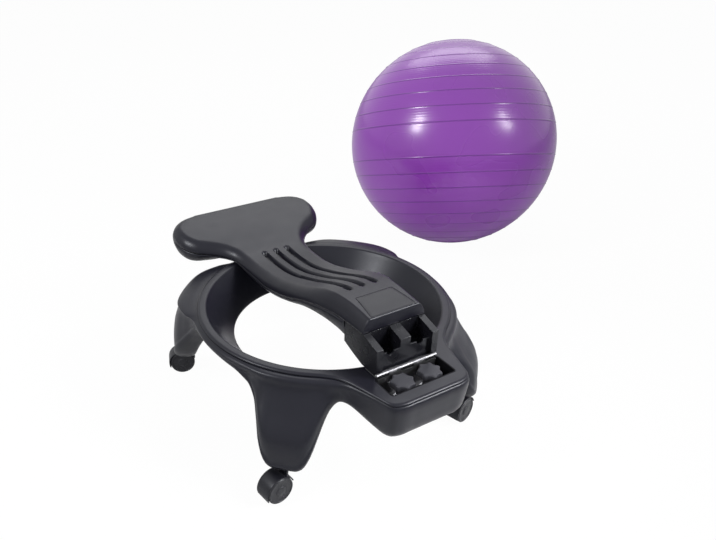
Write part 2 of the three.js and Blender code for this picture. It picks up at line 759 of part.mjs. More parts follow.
function grooveDepthAt(x, y) {
  const nearest = groove_pitch * Math.min(Math.max(Math.round(x / groove_pitch), -1), 1);
  const side = Math.abs(x - nearest);
  const past = Math.max(groove_foot_y + groove_half_width - y, y - (groove_head_y - groove_half_width), 0);
  const away = Math.hypot(side, past);
  return groove_depth * (1 - smooth(groove_half_width - groove_wall, groove_half_width, away));
}

function rearHeight(x, y, inset) {
  const rise = topCurve(y) - inset - partingCurve(y);
  const power = mix(1.6, 2, smooth(along(0.15), along(0.36), y));
  const lift = crown(edgeDistance(x, y) - inset, edgeRoundAt(y), power);
  return partingCurve(y) + rise * lift - grooveDepthAt(x, y);
}

function frontHeight(x, y, inset) {
  const parting = partingCurve(y) - fit_gap;
  const fall = parting - lowCurve(y) - inset;
  return parting - fall * crown(edgeDistance(x, y) - inset, edge_round, 2);
}

const edge_shares = [0, 0.1, 0.35, 1];
const front_column_shares = [-0.48, -0.17, 0.17, 0.48];
const groove_columns = [-1, 0, 1].flatMap((k) => {
  const floor = groove_half_width - groove_wall;
  return [-groove_half_width, -floor, floor, groove_half_width].map((offset) => k * groove_pitch + offset);
});

function crossColumns(y, inset, middle) {
  const w = halfWidth(y) - inset;
  const round = edgeRoundAt(y);
  const left = edge_shares.map((share) => -w + share * round);
  const right = [...edge_shares].reverse().map((share) => w - share * round);
  return [...left, ...middle, ...right];
}

const row_shares = [
  0.056, 0.101, 0.148, 0.159, 0.201, 0.264, 0.328, 0.391, 0.455, 0.518, 0.582, 0.636, 0.677, 0.688, 0.717,
  0.745, 0.768, 0.788, 0.81, 0.839, 0.895, 0.94, 0.967, 0.986, 0.9965,
];
const back_rows = row_shares.map(along);

function backrestRear() {
  const sheet = (inset) => {
    const first = foot_end_y + inset;
    const rows = [first, ...back_rows, head_end_y - inset];
    const grid = rows.map((y) => crossColumns(y, inset, groove_columns).map((x) => {
      return new THREE.Vector3(x, y, rearHeight(x, y, inset));
    }));
    const end = crossColumns(first, inset, groove_columns).map((x) => {
      return new THREE.Vector3(x, first, partingCurve(first));
    });
    return [end, ...grid];
  };
  return twoSkins(sheet(0), sheet(backrest_wall));
}

function backrestFront() {
  const middle = front_column_shares.map((share) => share * arm_half_width);
  const sheet = (inset) => {
    const first = bracket_far_y + fit_gap + inset;
    const start = back_rows.findIndex((y) => y > bracket_far_y + 2 * backrest_wall);
    const rows = [first, ...back_rows.slice(start), head_end_y - inset];
    const grid = rows.map((y) => crossColumns(y, inset, middle).map((x) => {
      return new THREE.Vector3(x, y, frontHeight(x, y, inset));
    }));
    const end = crossColumns(first, inset, middle).map((x) => {
      return new THREE.Vector3(x, first, partingCurve(first) - fit_gap);
    });
    return [end, ...grid];
  };
  return twoSkins(sheet(0), sheet(backrest_wall));
}

const back_screw_places = [-1, 1].flatMap((side) => {
  return [[side * head_screw_x, head_screw_y], [side * arm_screw_x, arm_screw_y]];
});

function buildBackrest() {
  const back = new THREE.Group();
  chair.add(back);
  let rear = solidOf(backrestRear());
  let front = solidOf(backrestFront());
  const bossCuts = [];
  for (const [x, y] of back_screw_places) {
    const roof = topCurve(y) - backrest_wall / 2;
    rear = rear.add(solidOf(rodZ(boss_r, lowCurve(y) + tower_rise + fit_gap, roof, x, y, 10)));
    bossCuts.push(rodZ(screw_r + fit_gap, lowCurve(y), lowCurve(y) + 5 * boss_r, x, y, 8));
  }
  for (const x of [-foot_screw_x, foot_screw_x]) {
    const y = foot_screw_y;
    const foot = bracket_floor_z + fit_gap;
    rear = rear.add(solidOf(rodZ(boss_r, foot, topCurve(y) - backrest_wall / 2 - panel_t, x, y, 10)));
    bossCuts.push(rodZ(screw_r + fit_gap, foot - overrun, foot + 5 * boss_r, x, y, 8));
  }
  const pocketTop = topCurve(panel_far_y) + overrun;
  const pocket = panelBlock(panel_t + fit_gap, pocketTop, fit_gap);
  rear = cutAll(rear, [...bossCuts, pocket]);
  addMesh(back, 'backrest_rear_shell', geometryOf(rear), blackPlastic);
  const headHoles = [];
  for (const [x, y] of back_screw_places) {
    const low = lowCurve(y);
    front = front.add(solidOf(rodZ(tower_r, low + backrest_wall / 2, low + tower_rise, x, y, 10)));
    headHoles.push(rodZ(screw_head_r + fit_gap, low - overrun, low + tower_rise - backrest_wall, x, y, 8));
    headHoles.push(rodZ(screw_r + fit_gap, low, low + tower_rise + overrun, x, y, 8));
  }
  front = cutAll(front, headHoles);
  addMesh(back, 'backrest_front_shell', geometryOf(front), blackPlastic);
  addMesh(back, 'foot_panel', panelBlock(panel_t, null, 0), softPlastic);
  back_screw_places.forEach(([x, y], k) => {
    const seat = lowCurve(y) + tower_rise - backrest_wall - fit_gap;
    const head = rodZ(screw_head_r, seat - screw_head, seat, x, y, 8);
    const shank = rodZ(screw_r, seat - screw_head / 2, seat + 3 * boss_r, x, y, 8);
    addMesh(back, `backrest_screw_${k + 1}`, geometryOf(joinAll([head, shank])), steel);
  });
  addMesh(back, 'foot_bracket', footBracket(), softPlastic);
  [-foot_screw_x, foot_screw_x].forEach((x, k) => {
    const seat = foot_screw_seat_z - fit_gap;
    const head = rodZ(screw_head_r, seat - screw_head, seat, x, foot_screw_y, 8);
    const shank = rodZ(screw_r, seat - screw_head / 2, seat + 5 * boss_r, x, foot_screw_y, 8);
    addMesh(back, `foot_screw_${k + 1}`, geometryOf(joinAll([head, shank])), steel);
  });
  addMesh(back, 'hinge_moving_leaf', movingLeaf(), paleSteel);
  return back;
}

// The bare plate let into the top of the foot
function panelBlock(thickness, top, grow) {
  const rows = [foot_end_y + backrest_wall, (foot_end_y + panel_far_y) / 2, panel_far_y + grow];
  const vertices = [];
  rows.forEach((y) => {
    const t = (y - foot_end_y) / (panel_far_y - foot_end_y);
    const half = mix(panel_near_half, panel_far_half, t) + grow;
    const surface = topCurve(y);
    const high = top === null ? surface : top;
    const low = surface - thickness;
    vertices.push(new THREE.Vector3(-half, y, low), new THREE.Vector3(half, y, low));
    vertices.push(new THREE.Vector3(half, y, high), new THREE.Vector3(-half, y, high));
  });
  const faces = [];
  for (let k = 0; k < rows.length - 1; k += 1) {
    for (let s = 0; s < 4; s += 1) {
      const [a, b] = [k * 4 + s, k * 4 + ((s + 1) % 4)];
      faces.push([a, b, b + 4], [a, b + 4, a + 4]);
    }
  }
  const last = (rows.length - 1) * 4;
  faces.push([0, 2, 1], [0, 3, 2], [last, last + 1, last + 2], [last, last + 2, last + 3]);
  return geometryFrom(vertices, faces);
}

// The foot: two cheeks and a centre prong with open channels between them
function footBracket() {
  const half = arm_half_width - fit_gap;
  const topZ = partingCurve(foot_end_y) - fit_gap;
  const clear = barrel_r + 2 * fit_gap;
  const outline = [
    [prong_tip_y, hinge_z + clear], [-hinge_y, hinge_z + clear], [-hinge_y + clear, hinge_z + clear],
    [-hinge_y + clear, bracket_bottom_z], [foot_end_y, bracket_bottom_z], [bracket_heel_y, bracket_heel_z],
    [bracket_far_y, bracket_far_z],
    [bracket_far_y, partingCurve(bracket_far_y) - fit_gap], [foot_end_y, topZ], [prong_tip_y, prong_tip_z],
  ];
  const block = crosswise(outline, -half, half);
  const cuts = [];
  for (const side of [-1, 1]) {
    const x0 = Math.min(side * centre_prong_half, side * cheek_inner_x);
    const x1 = Math.max(side * centre_prong_half, side * cheek_inner_x);
    const webNear = prong_tip_y + centre_prong_setback + web_t;
    cuts.push(box(x0, x1, webNear, foot_end_y, channel_floor_z, topZ + overrun));
    cuts.push(box(x0, x1, prong_tip_y - overrun, webNear, web_top_z, topZ + overrun));
    cuts.push(box(x0, x1, prong_tip_y - overrun, webNear - web_t, hinge_z, topZ + overrun));
    const middle = (x0 + x1) / 2;
    cuts.push(rodY(web_notch_r, prong_tip_y - overrun, webNear + overrun, middle, web_top_z));
    cuts.push(box(middle - web_notch_r, middle + web_notch_r, prong_tip_y - overrun, webNear + overrun,
      web_top_z, topZ));
  }
  cuts.push(box(-centre_prong_half - overrun / 5, centre_prong_half + overrun / 5, prong_tip_y - overrun,
    prong_tip_y + centre_prong_setback, hinge_z - overrun, topZ + overrun));
  const inner = arm_half_width - foot_edge_round;
  const hollowTop = partingCurve(bracket_far_y) + overrun;
  const wallY = foot_end_y + 4 * backrest_wall;
  cuts.push(box(-inner, inner, wallY, bracket_far_y + overrun, bracket_floor_z, hollowTop));
  for (const x of [-foot_screw_x, foot_screw_x]) {
    cuts.push(rodZ(screw_head_r + fit_gap, hinge_z, foot_screw_seat_z, x, foot_screw_y, 10));
    cuts.push(rodZ(screw_r + fit_gap, hinge_z, bracket_floor_z + overrun, x, foot_screw_y, 8));
  }
  return geometryOf(cutAll(solidOf(block), cuts));
}

function movingLeaf() {
  const z0 = hinge_z - barrel_r;
  const end = -hinge_y + moving_leaf_length;
  const plate = box(-leaf_half_width, leaf_half_width, -hinge_y, end, z0, z0 + leaf_t);
  const cuts = [1, 3].map((k) => {
    const gap = fit_gap / 2;
    return box(knuckle_x[k] - gap, knuckle_x[k + 1] + gap, -hinge_y - overrun, -hinge_y + barrel_r + leaf_t,
      z0 - overrun, z0 + 2 * overrun);
  });
  const slotted = cutAll(solidOf(plate), cuts);
  const leaf = knuckles([0, 2, 4]).map(solidOf).reduce((sum, next) => sum.add(next), slotted);
  const bore = rodX(pin_r + fit_gap, -2 * leaf_half_width, 2 * leaf_half_width, -hinge_y, hinge_z, 8);
  return geometryOf(cutAll(leaf, [bore]));
}

// Casters: each hood swivels on its stem, with a wheel on either side of its web
function stemPlaces() {
  const rear = [-1, 1].map((side) => [side * rear_stem_x, -rear_stem_y]);
  const front = [-1, 1].map((side) => [side * front_stem_x, front_stem_y]);
  return [...rear, ...front];
}

function hoodGeometry() {
  const web = new THREE.Shape();
  const web_r = hood_r - hood_t / 2;
  web.absarc(0, 0, web_r, 20 * deg, 200 * deg);
  web.lineTo(-0.6 * wheel_r, -0.34 * wheel_r);
  web.absarc(0, 0, 2.4 * axle_r, 230 * deg, 340 * deg);
  const webForm = { depth: 2 * web_half, bevelEnabled: false, curveSegments: 6 };
  const webSolid = new THREE.ExtrudeGeometry(web, webForm);
  webSolid.translate(0, 0, -web_half);
  const arc = new THREE.Shape();
  arc.absarc(0, 0, hood_r, 20 * deg, 200 * deg);
  arc.absarc(0, 0, hood_r - hood_t, 200 * deg, 20 * deg, true);
  const capForm = { depth: 2 * hood_half_width, bevelEnabled: false, curveSegments: 7 };
  const cap = new THREE.ExtrudeGeometry(arc, capForm);
  cap.translate(0, 0, -hood_half_width);
  const parts = [webSolid, cap].map((geometry) => {
    geometry.rotateX(Math.PI / 2);
    return geometry.translate(-caster_trail, 0, wheel_r);
  });
  const bossBottom = wheel_r + hood_r / 2;
  const bossTop = wheel_r + hood_r;
  const boss = rodZ(hood_boss_r, bossBottom, bossTop, 0, 0, 12);
  const wheelSpace = [-1, 1].map((side) => {
    const y0 = side < 0 ? -hood_half_width - overrun : web_half;
    const y1 = side < 0 ? -web_half : hood_half_width + overrun;
    return rodY(hood_r - hood_t, y0, y1, -caster_trail, wheel_r, 14);
  });
  const joined = cutAll(joinAll([...parts, boss]), wheelSpace);
  const bore = rodZ(stem_r + fit_gap, bossBottom + hood_t, bossTop + overrun, 0, 0, 8);
  const bore_half = 2 * hood_half_width;
  const axleBore = rodY(axle_r + fit_gap, -bore_half, bore_half, -caster_trail, wheel_r, 8);
  return geometryOf(cutAll(joined, [bore, axleBore]));
}

function wheelGeometry(side) {
  const inner = axle_r + fit_gap;
  const face = wheel_width;
  const round = tread_round;
  const profile = [
    [inner, 0], [wheel_r - round, 0], [wheel_r, round], [wheel_r, face - round], [wheel_r - round, face],
    [inner, face], [inner, 0],
  ];
  const wheel = turned(profile, 16);
  wheel.rotateX(-side * Math.PI / 2);
  return wheel.translate(-caster_trail, side * wheel_inner_y, wheel_r);
}

function buildCasters() {
  const names = ['rear_left', 'rear_right', 'front_left', 'front_right'];
  stemPlaces().forEach(([x, y], k) => {
    const name = names[k];
    const flangeTop = leg_bottom_z - fit_gap;
    const flangeLow = flangeTop - socket_flange;
    const inner = stem_r + fit_gap;
    const socket = turned([
      [inner, flangeLow], [socket_flange_r, flangeLow], [socket_flange_r, flangeTop], [socket_r, flangeTop],
      [socket_r, socket_top_z], [inner, socket_top_z], [inner, flangeLow],
    ], 10);
    addMesh(chair, `caster_socket_${name}`, socket.translate(x, y, 0), softPlastic);
    const caster = new THREE.Group();
    caster.position.set(x, y, 0);
    caster.rotation.z = caster_headings[name] * deg;
    chair.add(caster);
    const stemLow = wheel_r + hood_r / 2 + hood_t + fit_gap;
    const collarLow = wheel_r + hood_r + fit_gap;
    const collarTop = flangeLow - fit_gap;
    const stem = turned([
      [0, stemLow], [stem_r, stemLow], [stem_r, collarLow], [collar_r, collarLow], [collar_r, collarTop],
      [stem_r, collarTop], [stem_r, stem_top_z], [0, stem_top_z],
    ], 8);
    addMesh(caster, `caster_stem_${name}`, stem, steel);
    addMesh(caster, `caster_hood_${name}`, hoodGeometry(), softPlastic);
    const reach = wheel_inner_y + wheel_width;
    addMesh(caster, `caster_axle_${name}`, rodY(axle_r, -reach, reach, -caster_trail, wheel_r, 8), steel);
    addMesh(caster, `caster_wheel_${name}_inner`, wheelGeometry(-1), wheelGrey);
    addMesh(caster, `caster_wheel_${name}_outer`, wheelGeometry(1), wheelGrey);
  });
}

// The ball: a thin hollow skin, open only at its valve, with a small flat where it stands
function ballSeatHeight() {
  const flat = Math.cos(5 * deg);
  let height = 0;
  for (let j = 0; j < cover_points; j += 1) {
    const p = coverPoint(0, j);
    const reach = ball_r + 3 * fit_gap;
    height = Math.max(height, p.z + Math.sqrt(reach * reach - p.x * p.x * flat * flat));
  }
  return height;
}

// One closed skin turned about the upright axis, flat where it stands
function ballSolid(radius, standing) {
  const bands = 14;
  const sides = 28;
  const first = Math.acos(standing / radius);
  const profile = [[0, -standing]];
  for (let k = 0; k <= bands; k += 1) {
    const t = mix(first, Math.PI, k / bands);
    profile.push([k === bands ? 0 : radius * Math.sin(t), -radius * Math.cos(t)]);
  }
  return solidOf(turned(profile, sides));
}

function buildBall() {
  const ball = new THREE.Group();
  chair.add(ball);
  const centreZ = ball_r - ball_flat;
  const lean = new THREE.Matrix4().makeRotationY(valve_lean * deg);
  const turn = new THREE.Matrix4().makeRotationZ(valve_azimuth * deg).multiply(lean);
  const hollow = ballSolid(ball_r - ball_wall, centreZ - ball_wall);
  const bore = rodZ(valve_r, ball_r - plug_length, ball_r + overrun).applyMatrix4(turn);
  const skin = cutAll(ballSolid(ball_r, centreZ).subtract(hollow), [bore]);
  addMesh(ball, 'ball_shell', placed(geometryOf(skin), ball_floor_x, ball_floor_y, centreZ), purple);
  const seat = ball_r + fit_gap;
  const plug = turned([
    [0, seat - plug_length], [plug_r, seat - plug_length], [plug_r, seat], [plug_head_r, seat],
    [plug_head_r - plug_head, seat + plug_head], [0, seat + plug_head],
  ], 12);
  plug.applyMatrix4(turn);
  addMesh(ball, 'ball_plug', placed(plug, ball_floor_x, ball_floor_y, centreZ), softPlastic);
}

const base = buildBase();
const { leafZ } = buildKnobs(base);
buildFixedLeaf(base, leafZ);
buildBackrest();
buildCasters();
buildBall();

// The origin: the middle of the whole object's footprint, on the floor
const bounds = new THREE.Box3().setFromObject(chair, true);
chair.position.set(-(bounds.min.x + bounds.max.x) / 2, -(bounds.min.y + bounds.max.y) / 2, 0);
chair.updateMatrixWorld(true);

// Where the moving pieces turn, in the part's own frame
const at = (x, y, z) => [x + chair.position.x, y + chair.position.y, z].map((v) => Number(v.toFixed(3)));
console.log('hinge', at(0, -hinge_y, hinge_z), 'seated ball', at(0, 0, ballSeatHeight()));
console.log('ball', at(ball_floor_x, ball_floor_y, ball_r - ball_flat), 'base centre', at(0, 0, 0));

export default chair;
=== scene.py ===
# %% [markdown]
# A balance ball chair, stored: an exercise ball stands beside a black wheeled base, and the lumbar
# backrest lies folded over the base's ring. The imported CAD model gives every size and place; this file
# gives the moulded shapes their smooth skins and every surface its finish.

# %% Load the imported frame
import json
import math

import bmesh
import bpy
import numpy as np
from mathutils import Matrix, Vector


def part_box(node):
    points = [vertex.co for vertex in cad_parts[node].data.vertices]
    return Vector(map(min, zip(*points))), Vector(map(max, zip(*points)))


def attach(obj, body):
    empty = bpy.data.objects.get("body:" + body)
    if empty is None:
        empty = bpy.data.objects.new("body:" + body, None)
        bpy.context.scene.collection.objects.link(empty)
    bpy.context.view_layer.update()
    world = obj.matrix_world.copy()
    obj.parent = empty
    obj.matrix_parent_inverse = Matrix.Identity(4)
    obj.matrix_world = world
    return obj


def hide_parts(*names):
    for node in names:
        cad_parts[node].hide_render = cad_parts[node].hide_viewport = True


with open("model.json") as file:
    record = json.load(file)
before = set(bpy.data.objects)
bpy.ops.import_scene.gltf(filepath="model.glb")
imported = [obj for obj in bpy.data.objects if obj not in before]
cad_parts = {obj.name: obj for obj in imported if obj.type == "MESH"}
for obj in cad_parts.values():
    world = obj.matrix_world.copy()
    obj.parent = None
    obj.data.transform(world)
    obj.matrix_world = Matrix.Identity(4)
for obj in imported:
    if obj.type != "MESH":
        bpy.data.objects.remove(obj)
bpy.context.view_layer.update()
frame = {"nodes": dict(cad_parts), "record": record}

mm = 0.001
body_of_node = {n: body for body, nodes in frame["record"]["behaviour"]["bodies"].items() for n in nodes}

# %% [markdown]
# All sizes are thought of in millimetres round the base's own centre, where the ring is a circle. The top
# cover is as wide as the ring and its front edge is the ring's front, so its box gives that centre.

# %% The base's centre
parting_r = 222.7
cover_low, cover_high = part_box("ring_top_cover")
centre_x = (cover_low[0] + cover_high[0]) / 2
centre_y = cover_high[1] - parting_r * mm


def place(x, y, z):
    """A point given in millimetres from the ring's centre, in the frame's metres."""
    return Vector((centre_x + x * mm, centre_y + y * mm, z * mm))


print("ring centre", round(centre_x, 4), round(centre_y, 4))

# %% [markdown]
# The camera looks down at the chair from its rear left, from about a metre and a half. The photograph's
# optical axis lies left of the frame's middle, which is what the small sideways shift of the lens says.

# %% Camera
camera_x, camera_y, camera_z = -573.0, -891.0, 842.4
view_right = Vector((0.862014, -0.506868, -0.002577))
view_up = Vector((0.247894, 0.417141, 0.874376))
view_back = view_right.cross(view_up)
image_width, image_height = 716, 540
focal_pixels = 694.6
axis_column, axis_row = 298.5, 273.9

camera_data = bpy.data.cameras.new("camera")
camera = bpy.data.objects.new("camera", camera_data)
bpy.context.scene.collection.objects.link(camera)
camera.matrix_world = Matrix.Translation(place(camera_x, camera_y, camera_z)) @ Matrix(
    (view_right, view_up, view_back)
).transposed().to_4x4()
camera_data.sensor_width = 36
camera_data.lens = focal_pixels * camera_data.sensor_width / image_width
camera_data.shift_x = (image_width / 2 - axis_column) / image_width
camera_data.shift_y = (axis_row - image_height / 2) / image_width
camera_data.clip_start, camera_data.clip_end = 0.05, 60
bpy.context.scene.camera = camera
print("lens", round(camera_data.lens, 2), "mm, shift", round(camera_data.shift_x, 3))

# %% [markdown]
# The light is that of a white photo table: a soft key from the left, whose glow shows on the ball, a
# broad one behind the chair for its upper faces, one with a grid for the edges of its hub, and a white
# surround. The world is white to the camera and to reflections, which is what draws the forms of a black
# object, but gives it only a plain level of light.

# %% World
scene = bpy.context.scene
scene.view_settings.view_transform = "Standard"
world = bpy.data.worlds.new("studio")
scene.world = world
world.use_nodes = True
sky = world.node_tree
sky.nodes.clear()


def node(tree, kind, **settings):
    """A new shader node with its properties, and its unlinked sockets by name."""
    made = tree.nodes.new(kind)
    for key, value in settings.items():
        if hasattr(made, key):
            setattr(made, key, value)
        else:
            made.inputs[key.replace("_", " ")].default_value = value
    return made


def link(tree, source, target):
    tree.links.new(source, target)


paths = node(sky, "ShaderNodeLightPath")
seen = node(sky, "ShaderNodeMath", operation="MAXIMUM")
shown = node(sky, "ShaderNodeMath", operation="MAXIMUM")
link(sky, paths.outputs["Is Camera Ray"], seen.inputs[0])
link(sky, paths.outputs["Is Transmission Ray"], seen.inputs[1])
link(sky, seen.outputs[0], shown.inputs[0])
link(sky, paths.outputs["Is Glossy Ray"], shown.inputs[1])
lit = node(sky, "ShaderNodeBackground", Color=(0.97, 0.98, 1, 1), Strength=0.46)
white = node(sky, "ShaderNodeBackground", Color=(1, 1, 1, 1), Strength=1.0)
seen_mix = node(sky, "ShaderNodeMixShader")
link(sky, shown.outputs[0], seen_mix.inputs[0])
link(sky, lit.outputs[0], seen_mix.inputs[1])
link(sky, white.outputs[0], seen_mix.inputs[2])
link(sky, seen_mix.outputs[0], node(sky, "ShaderNodeOutputWorld").inputs[0])


def lamp(name, direction, distance, width, height, power, target, spread=180):
    """A soft box that looks at a point from a direction; a spread under 180 degrees is a grid before it."""
    data = bpy.data.lights.new(name, "AREA")
    data.shape, data.size, data.size_y, data.energy = "RECTANGLE", width, height, power
    data.spread = math.radians(spread)
    made = bpy.data.objects.new(name, data)
    scene.collection.objects.link(made)
    away = Vector(direction).normalized()
    made.location = target + away * distance
    made.rotation_mode = "QUATERNION"
    made.rotation_quaternion = away.to_track_quat("Z", "Y")


ball_middle = place(657.7, 417.9, 258.5)
base_middle = place(0, 0, 150)
hub_middle = place(0, -250, 200)
lamp("key", (-0.93, -0.06, 0.56), 3.2, 0.5, 0.85, 46, ball_middle)
lamp("behind", (0.5, 0.6, 0.76), 3.2, 2.4, 1.2, 25, base_middle)
lamp("rim", (0.546, -0.586, 0.576), 1.7, 0.9, 0.5, 4.5, hub_middle, 46)

# %% [markdown]
# The floor is one pale sheet. To the camera it is mixed with plain white, so the page stays white and the
# soft contact shadows stay too.

# %% Floor
floor_mesh = bpy.data.meshes.new("floor")
floor_bm = bmesh.new()
bmesh.ops.create_grid(floor_bm, x_segments=1, y_segments=1, size=14)
floor_bm.to_mesh(floor_mesh)
floor_bm.free()
floor = bpy.data.objects.new("floor", floor_mesh)
scene.collection.objects.link(floor)
floor_finish = bpy.data.materials.new("pale_floor")
floor_finish.use_nodes = True
tree = floor_finish.node_tree
tree.nodes.clear()
matt = node(tree, "ShaderNodeBsdfDiffuse", Color=(0.7, 0.7, 0.7, 1))
glow = node(tree, "ShaderNodeEmission", Color=(1, 1, 1, 1), Strength=1.0)
floor_paths = node(tree, "ShaderNodeLightPath")
share = node(tree, "ShaderNodeMath", operation="MULTIPLY")
share.inputs[1].default_value = 0.97
floor_mix = node(tree, "ShaderNodeMixShader")
link(tree, floor_paths.outputs["Is Camera Ray"], share.inputs[0])
link(tree, share.outputs[0], floor_mix.inputs[0])
link(tree, matt.outputs[0], floor_mix.inputs[1])
link(tree, glow.outputs[0], floor_mix.inputs[2])
link(tree, floor_mix.outputs[0], node(tree, "ShaderNodeOutputMaterial").inputs[0])
floor_mesh.materials.append(floor_finish)
print("floor", floor.dimensions[0], "m wide")

# %% [markdown]
# Injection-moulded black plastic is never mirror-smooth: the steel mould is spark-eroded, which leaves a
# fine grain. A small noise drives the bump and shifts the colour a little, and a broad one shifts the gloss, as
# handling and moulding flow do.

# %% Moulded plastics
def plastic(name, colour, roughness, grain, depth, patch=40.0, spread=0.05, sheen=0.25):
    """Moulded plastic with a spark grain: grain per metre, depth in metres, and a slow drift of gloss."""
    finish = bpy.data.materials.new(name)
    finish.use_nodes = True
    finish.diffuse_color = (*colour, 1)
    tree = finish.node_tree
    shader = tree.nodes["Principled BSDF"]
    shader.inputs["IOR"].default_value = 1.5
    shader.inputs["Specular IOR Level"].default_value = sheen
    shader.inputs["Specular Tint"].default_value = (0.93, 0.95, 1, 1)
    where = node(tree, "ShaderNodeTexCoord")
    fine = node(tree, "ShaderNodeTexNoise", Scale=grain, Detail=3.0, Roughness=0.6)
    slow = node(tree, "ShaderNodeTexNoise", Scale=patch, Detail=2.0, Roughness=0.5)
    link(tree, where.outputs["Object"], fine.inputs["Vector"])
    link(tree, where.outputs["Object"], slow.inputs["Vector"])
    bump = node(tree, "ShaderNodeBump", Strength=0.5, Distance=depth)
    link(tree, fine.outputs["Fac"], bump.inputs["Height"])
    link(tree, bump.outputs["Normal"], shader.inputs["Normal"])
    gloss = node(tree, "ShaderNodeMapRange")
    gloss.inputs["To Min"].default_value = roughness - spread
    gloss.inputs["To Max"].default_value = roughness + spread
    link(tree, slow.outputs["Fac"], gloss.inputs["Value"])
    link(tree, gloss.outputs["Result"], shader.inputs["Roughness"])
    tint = node(tree, "ShaderNodeValToRGB")
    tint.color_ramp.elements[0].position, tint.color_ramp.elements[1].position = 0.3, 0.7
    tint.color_ramp.elements[0].color = (*[c * 0.86 for c in colour], 1)
    tint.color_ramp.elements[1].color = (*[c * 1.14 for c in colour], 1)
    link(tree, fine.outputs["Fac"], tint.inputs["Fac"])
    link(tree, tint.outputs["Color"], shader.inputs["Base Color"])
    return finish


satin_black = plastic("satin_black", (0.008, 0.008, 0.0125), 0.34, 1500, 0.00012)
matt_black = plastic("matt_black", (0.007, 0.007, 0.01), 0.36, 1900, 0.0001)
knob_black = plastic("knob_black", (0.03, 0.03, 0.036), 0.42, 1900, 0.0001)
bracket_black = plastic("bracket_black", (0.005, 0.005, 0.007), 0.27, 1900, 0.00003, spread=0.02, sheen=0.5)
# painted shade: the knob tray is darker and duller than the other black plastic, for the shade inside the knob
# recess
recess_shade_black = plastic("recess_shade_black", (0.003, 0.003, 0.004), 0.6, 1900, 0.0001, sheen=0.1)
wheel_black = plastic("wheel_black", (0.02, 0.02, 0.023), 0.38, 1200, 0.00006)
pale_plug = plastic("pale_plug", (0.62, 0.6, 0.57), 0.45, 900, 0.00005)
print("plastics", [m.name for m in bpy.data.materials if "_black" in m.name])
print("pale plastic", pale_plug.name)

# %% [markdown]
# The small steel parts are turned or bright zinc plated. A stretched noise gives the brushed streaks.

# %% Steels
def steel(name, colour, roughness):
    finish = bpy.data.materials.new(name)
    finish.use_nodes = True
    finish.diffuse_color = (*colour, 1)
    tree = finish.node_tree
    shader = tree.nodes["Principled BSDF"]
    shader.inputs["Base Color"].default_value = (*colour, 1)
    shader.inputs["Metallic"].default_value = 1.0
    where = node(tree, "ShaderNodeTexCoord")
    stretch = node(tree, "ShaderNodeMapping")
    stretch.inputs["Scale"].default_value = (60, 900, 900)
    streaks = node(tree, "ShaderNodeTexNoise", Scale=1.0, Detail=3.0)
    link(tree, where.outputs["Object"], stretch.inputs["Vector"])
    link(tree, stretch.outputs["Vector"], streaks.inputs["Vector"])
    gloss = node(tree, "ShaderNodeMapRange")
    gloss.inputs["To Min"].default_value = roughness - 0.08
    gloss.inputs["To Max"].default_value = roughness + 0.1
    link(tree, streaks.outputs["Fac"], gloss.inputs["Value"])
    link(tree, gloss.outputs["Result"], shader.inputs["Roughness"])
    return finish


turned_steel = steel("turned_steel", (0.56, 0.57, 0.58), 0.3)
zinc_plate = steel("zinc_plate", (0.17, 0.17, 0.18), 0.4)
print("steels", turned_steel.name, zinc_plate.name)

# %% [markdown]
# Every new piece is made the same way at the end: its faces are turned outwards, its mesh is shaded
# smooth up to an edge angle, and it rides on the body of the CAD node that it stands for. A single open
# sheet has no inside for that turning to find, so an open skin is checked by the direction it faces.


def finished(name, bm, material, *nodes, edge=35, wall=None, recalc=True):
    """Turns a bmesh into the piece that stands for CAD nodes; wall gives a thin skin its thickness in metres."""
    if recalc:
        bmesh.ops.recalc_face_normals(bm, faces=bm.faces)
    mesh = bpy.data.meshes.new(name)
    bm.to_mesh(mesh)
    bm.free()
    mesh.shade_smooth()
    mesh.set_sharp_from_angle(angle=math.radians(edge))
    mesh.materials.append(material)
    piece = bpy.data.objects.new(name, mesh)
    scene.collection.objects.link(piece)
    if wall:
        thicken = piece.modifiers.new("wall", "SOLIDIFY")
        thicken.thickness = wall
        thicken.offset = -1
    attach(piece, body_of_node[nodes[0]])
    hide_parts(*nodes)
    return piece


def face_towards(piece, direction):
    """Flips an open skin whose faces look the wrong way on the whole."""
    total = sum((p.normal * p.area for p in piece.data.polygons), Vector())
    if total.dot(Vector(direction)) < 0:
        piece.data.flip_normals()


def smooth(low, high, value):
    t = np.clip((value - low) / (high - low), 0, 1)
    return t * t * (3 - 2 * t)


def mix(a, b, t):
    return a + (b - a) * t


def curve_through(pairs):
    """A smooth curve through (place, value) pairs that never overshoots, level at both ends."""
    x = np.array([p[0] for p in pairs], float)
    v = np.array([p[1] for p in pairs], float)
    step = np.diff(v) / np.diff(x)
    slope = np.zeros(len(x))
    same = step[:-1] * step[1:] > 0
    slope[1:-1][same] = (2 * step[:-1] * step[1:])[same] / (step[:-1] + step[1:])[same]

    def value(at):
        at = np.clip(np.asarray(at, float), x[0], x[-1])
        k = np.clip(np.searchsorted(x, at, side="right") - 1, 0, len(x) - 2)
        width = x[k + 1] - x[k]
        t = (at - x[k]) / width
        rise = t * t * (3 - 2 * t)
        pull = slope[k] * t * (1 - t) ** 2 - slope[k + 1] * t * t * (1 - t)
        return v[k] + (v[k + 1] - v[k]) * rise + pull * width

    return value


print("helpers ready")

# %% [markdown]
# The base is one moulding: a ring whose wall curls under, four legs that swell out of it, and a box-like
# hub at the rear. In section each of these is a different curve, so the skin is a spun sheet whose points
# are then moved: round the ring by angle, down the wall by place, blending ring, leg and hub.

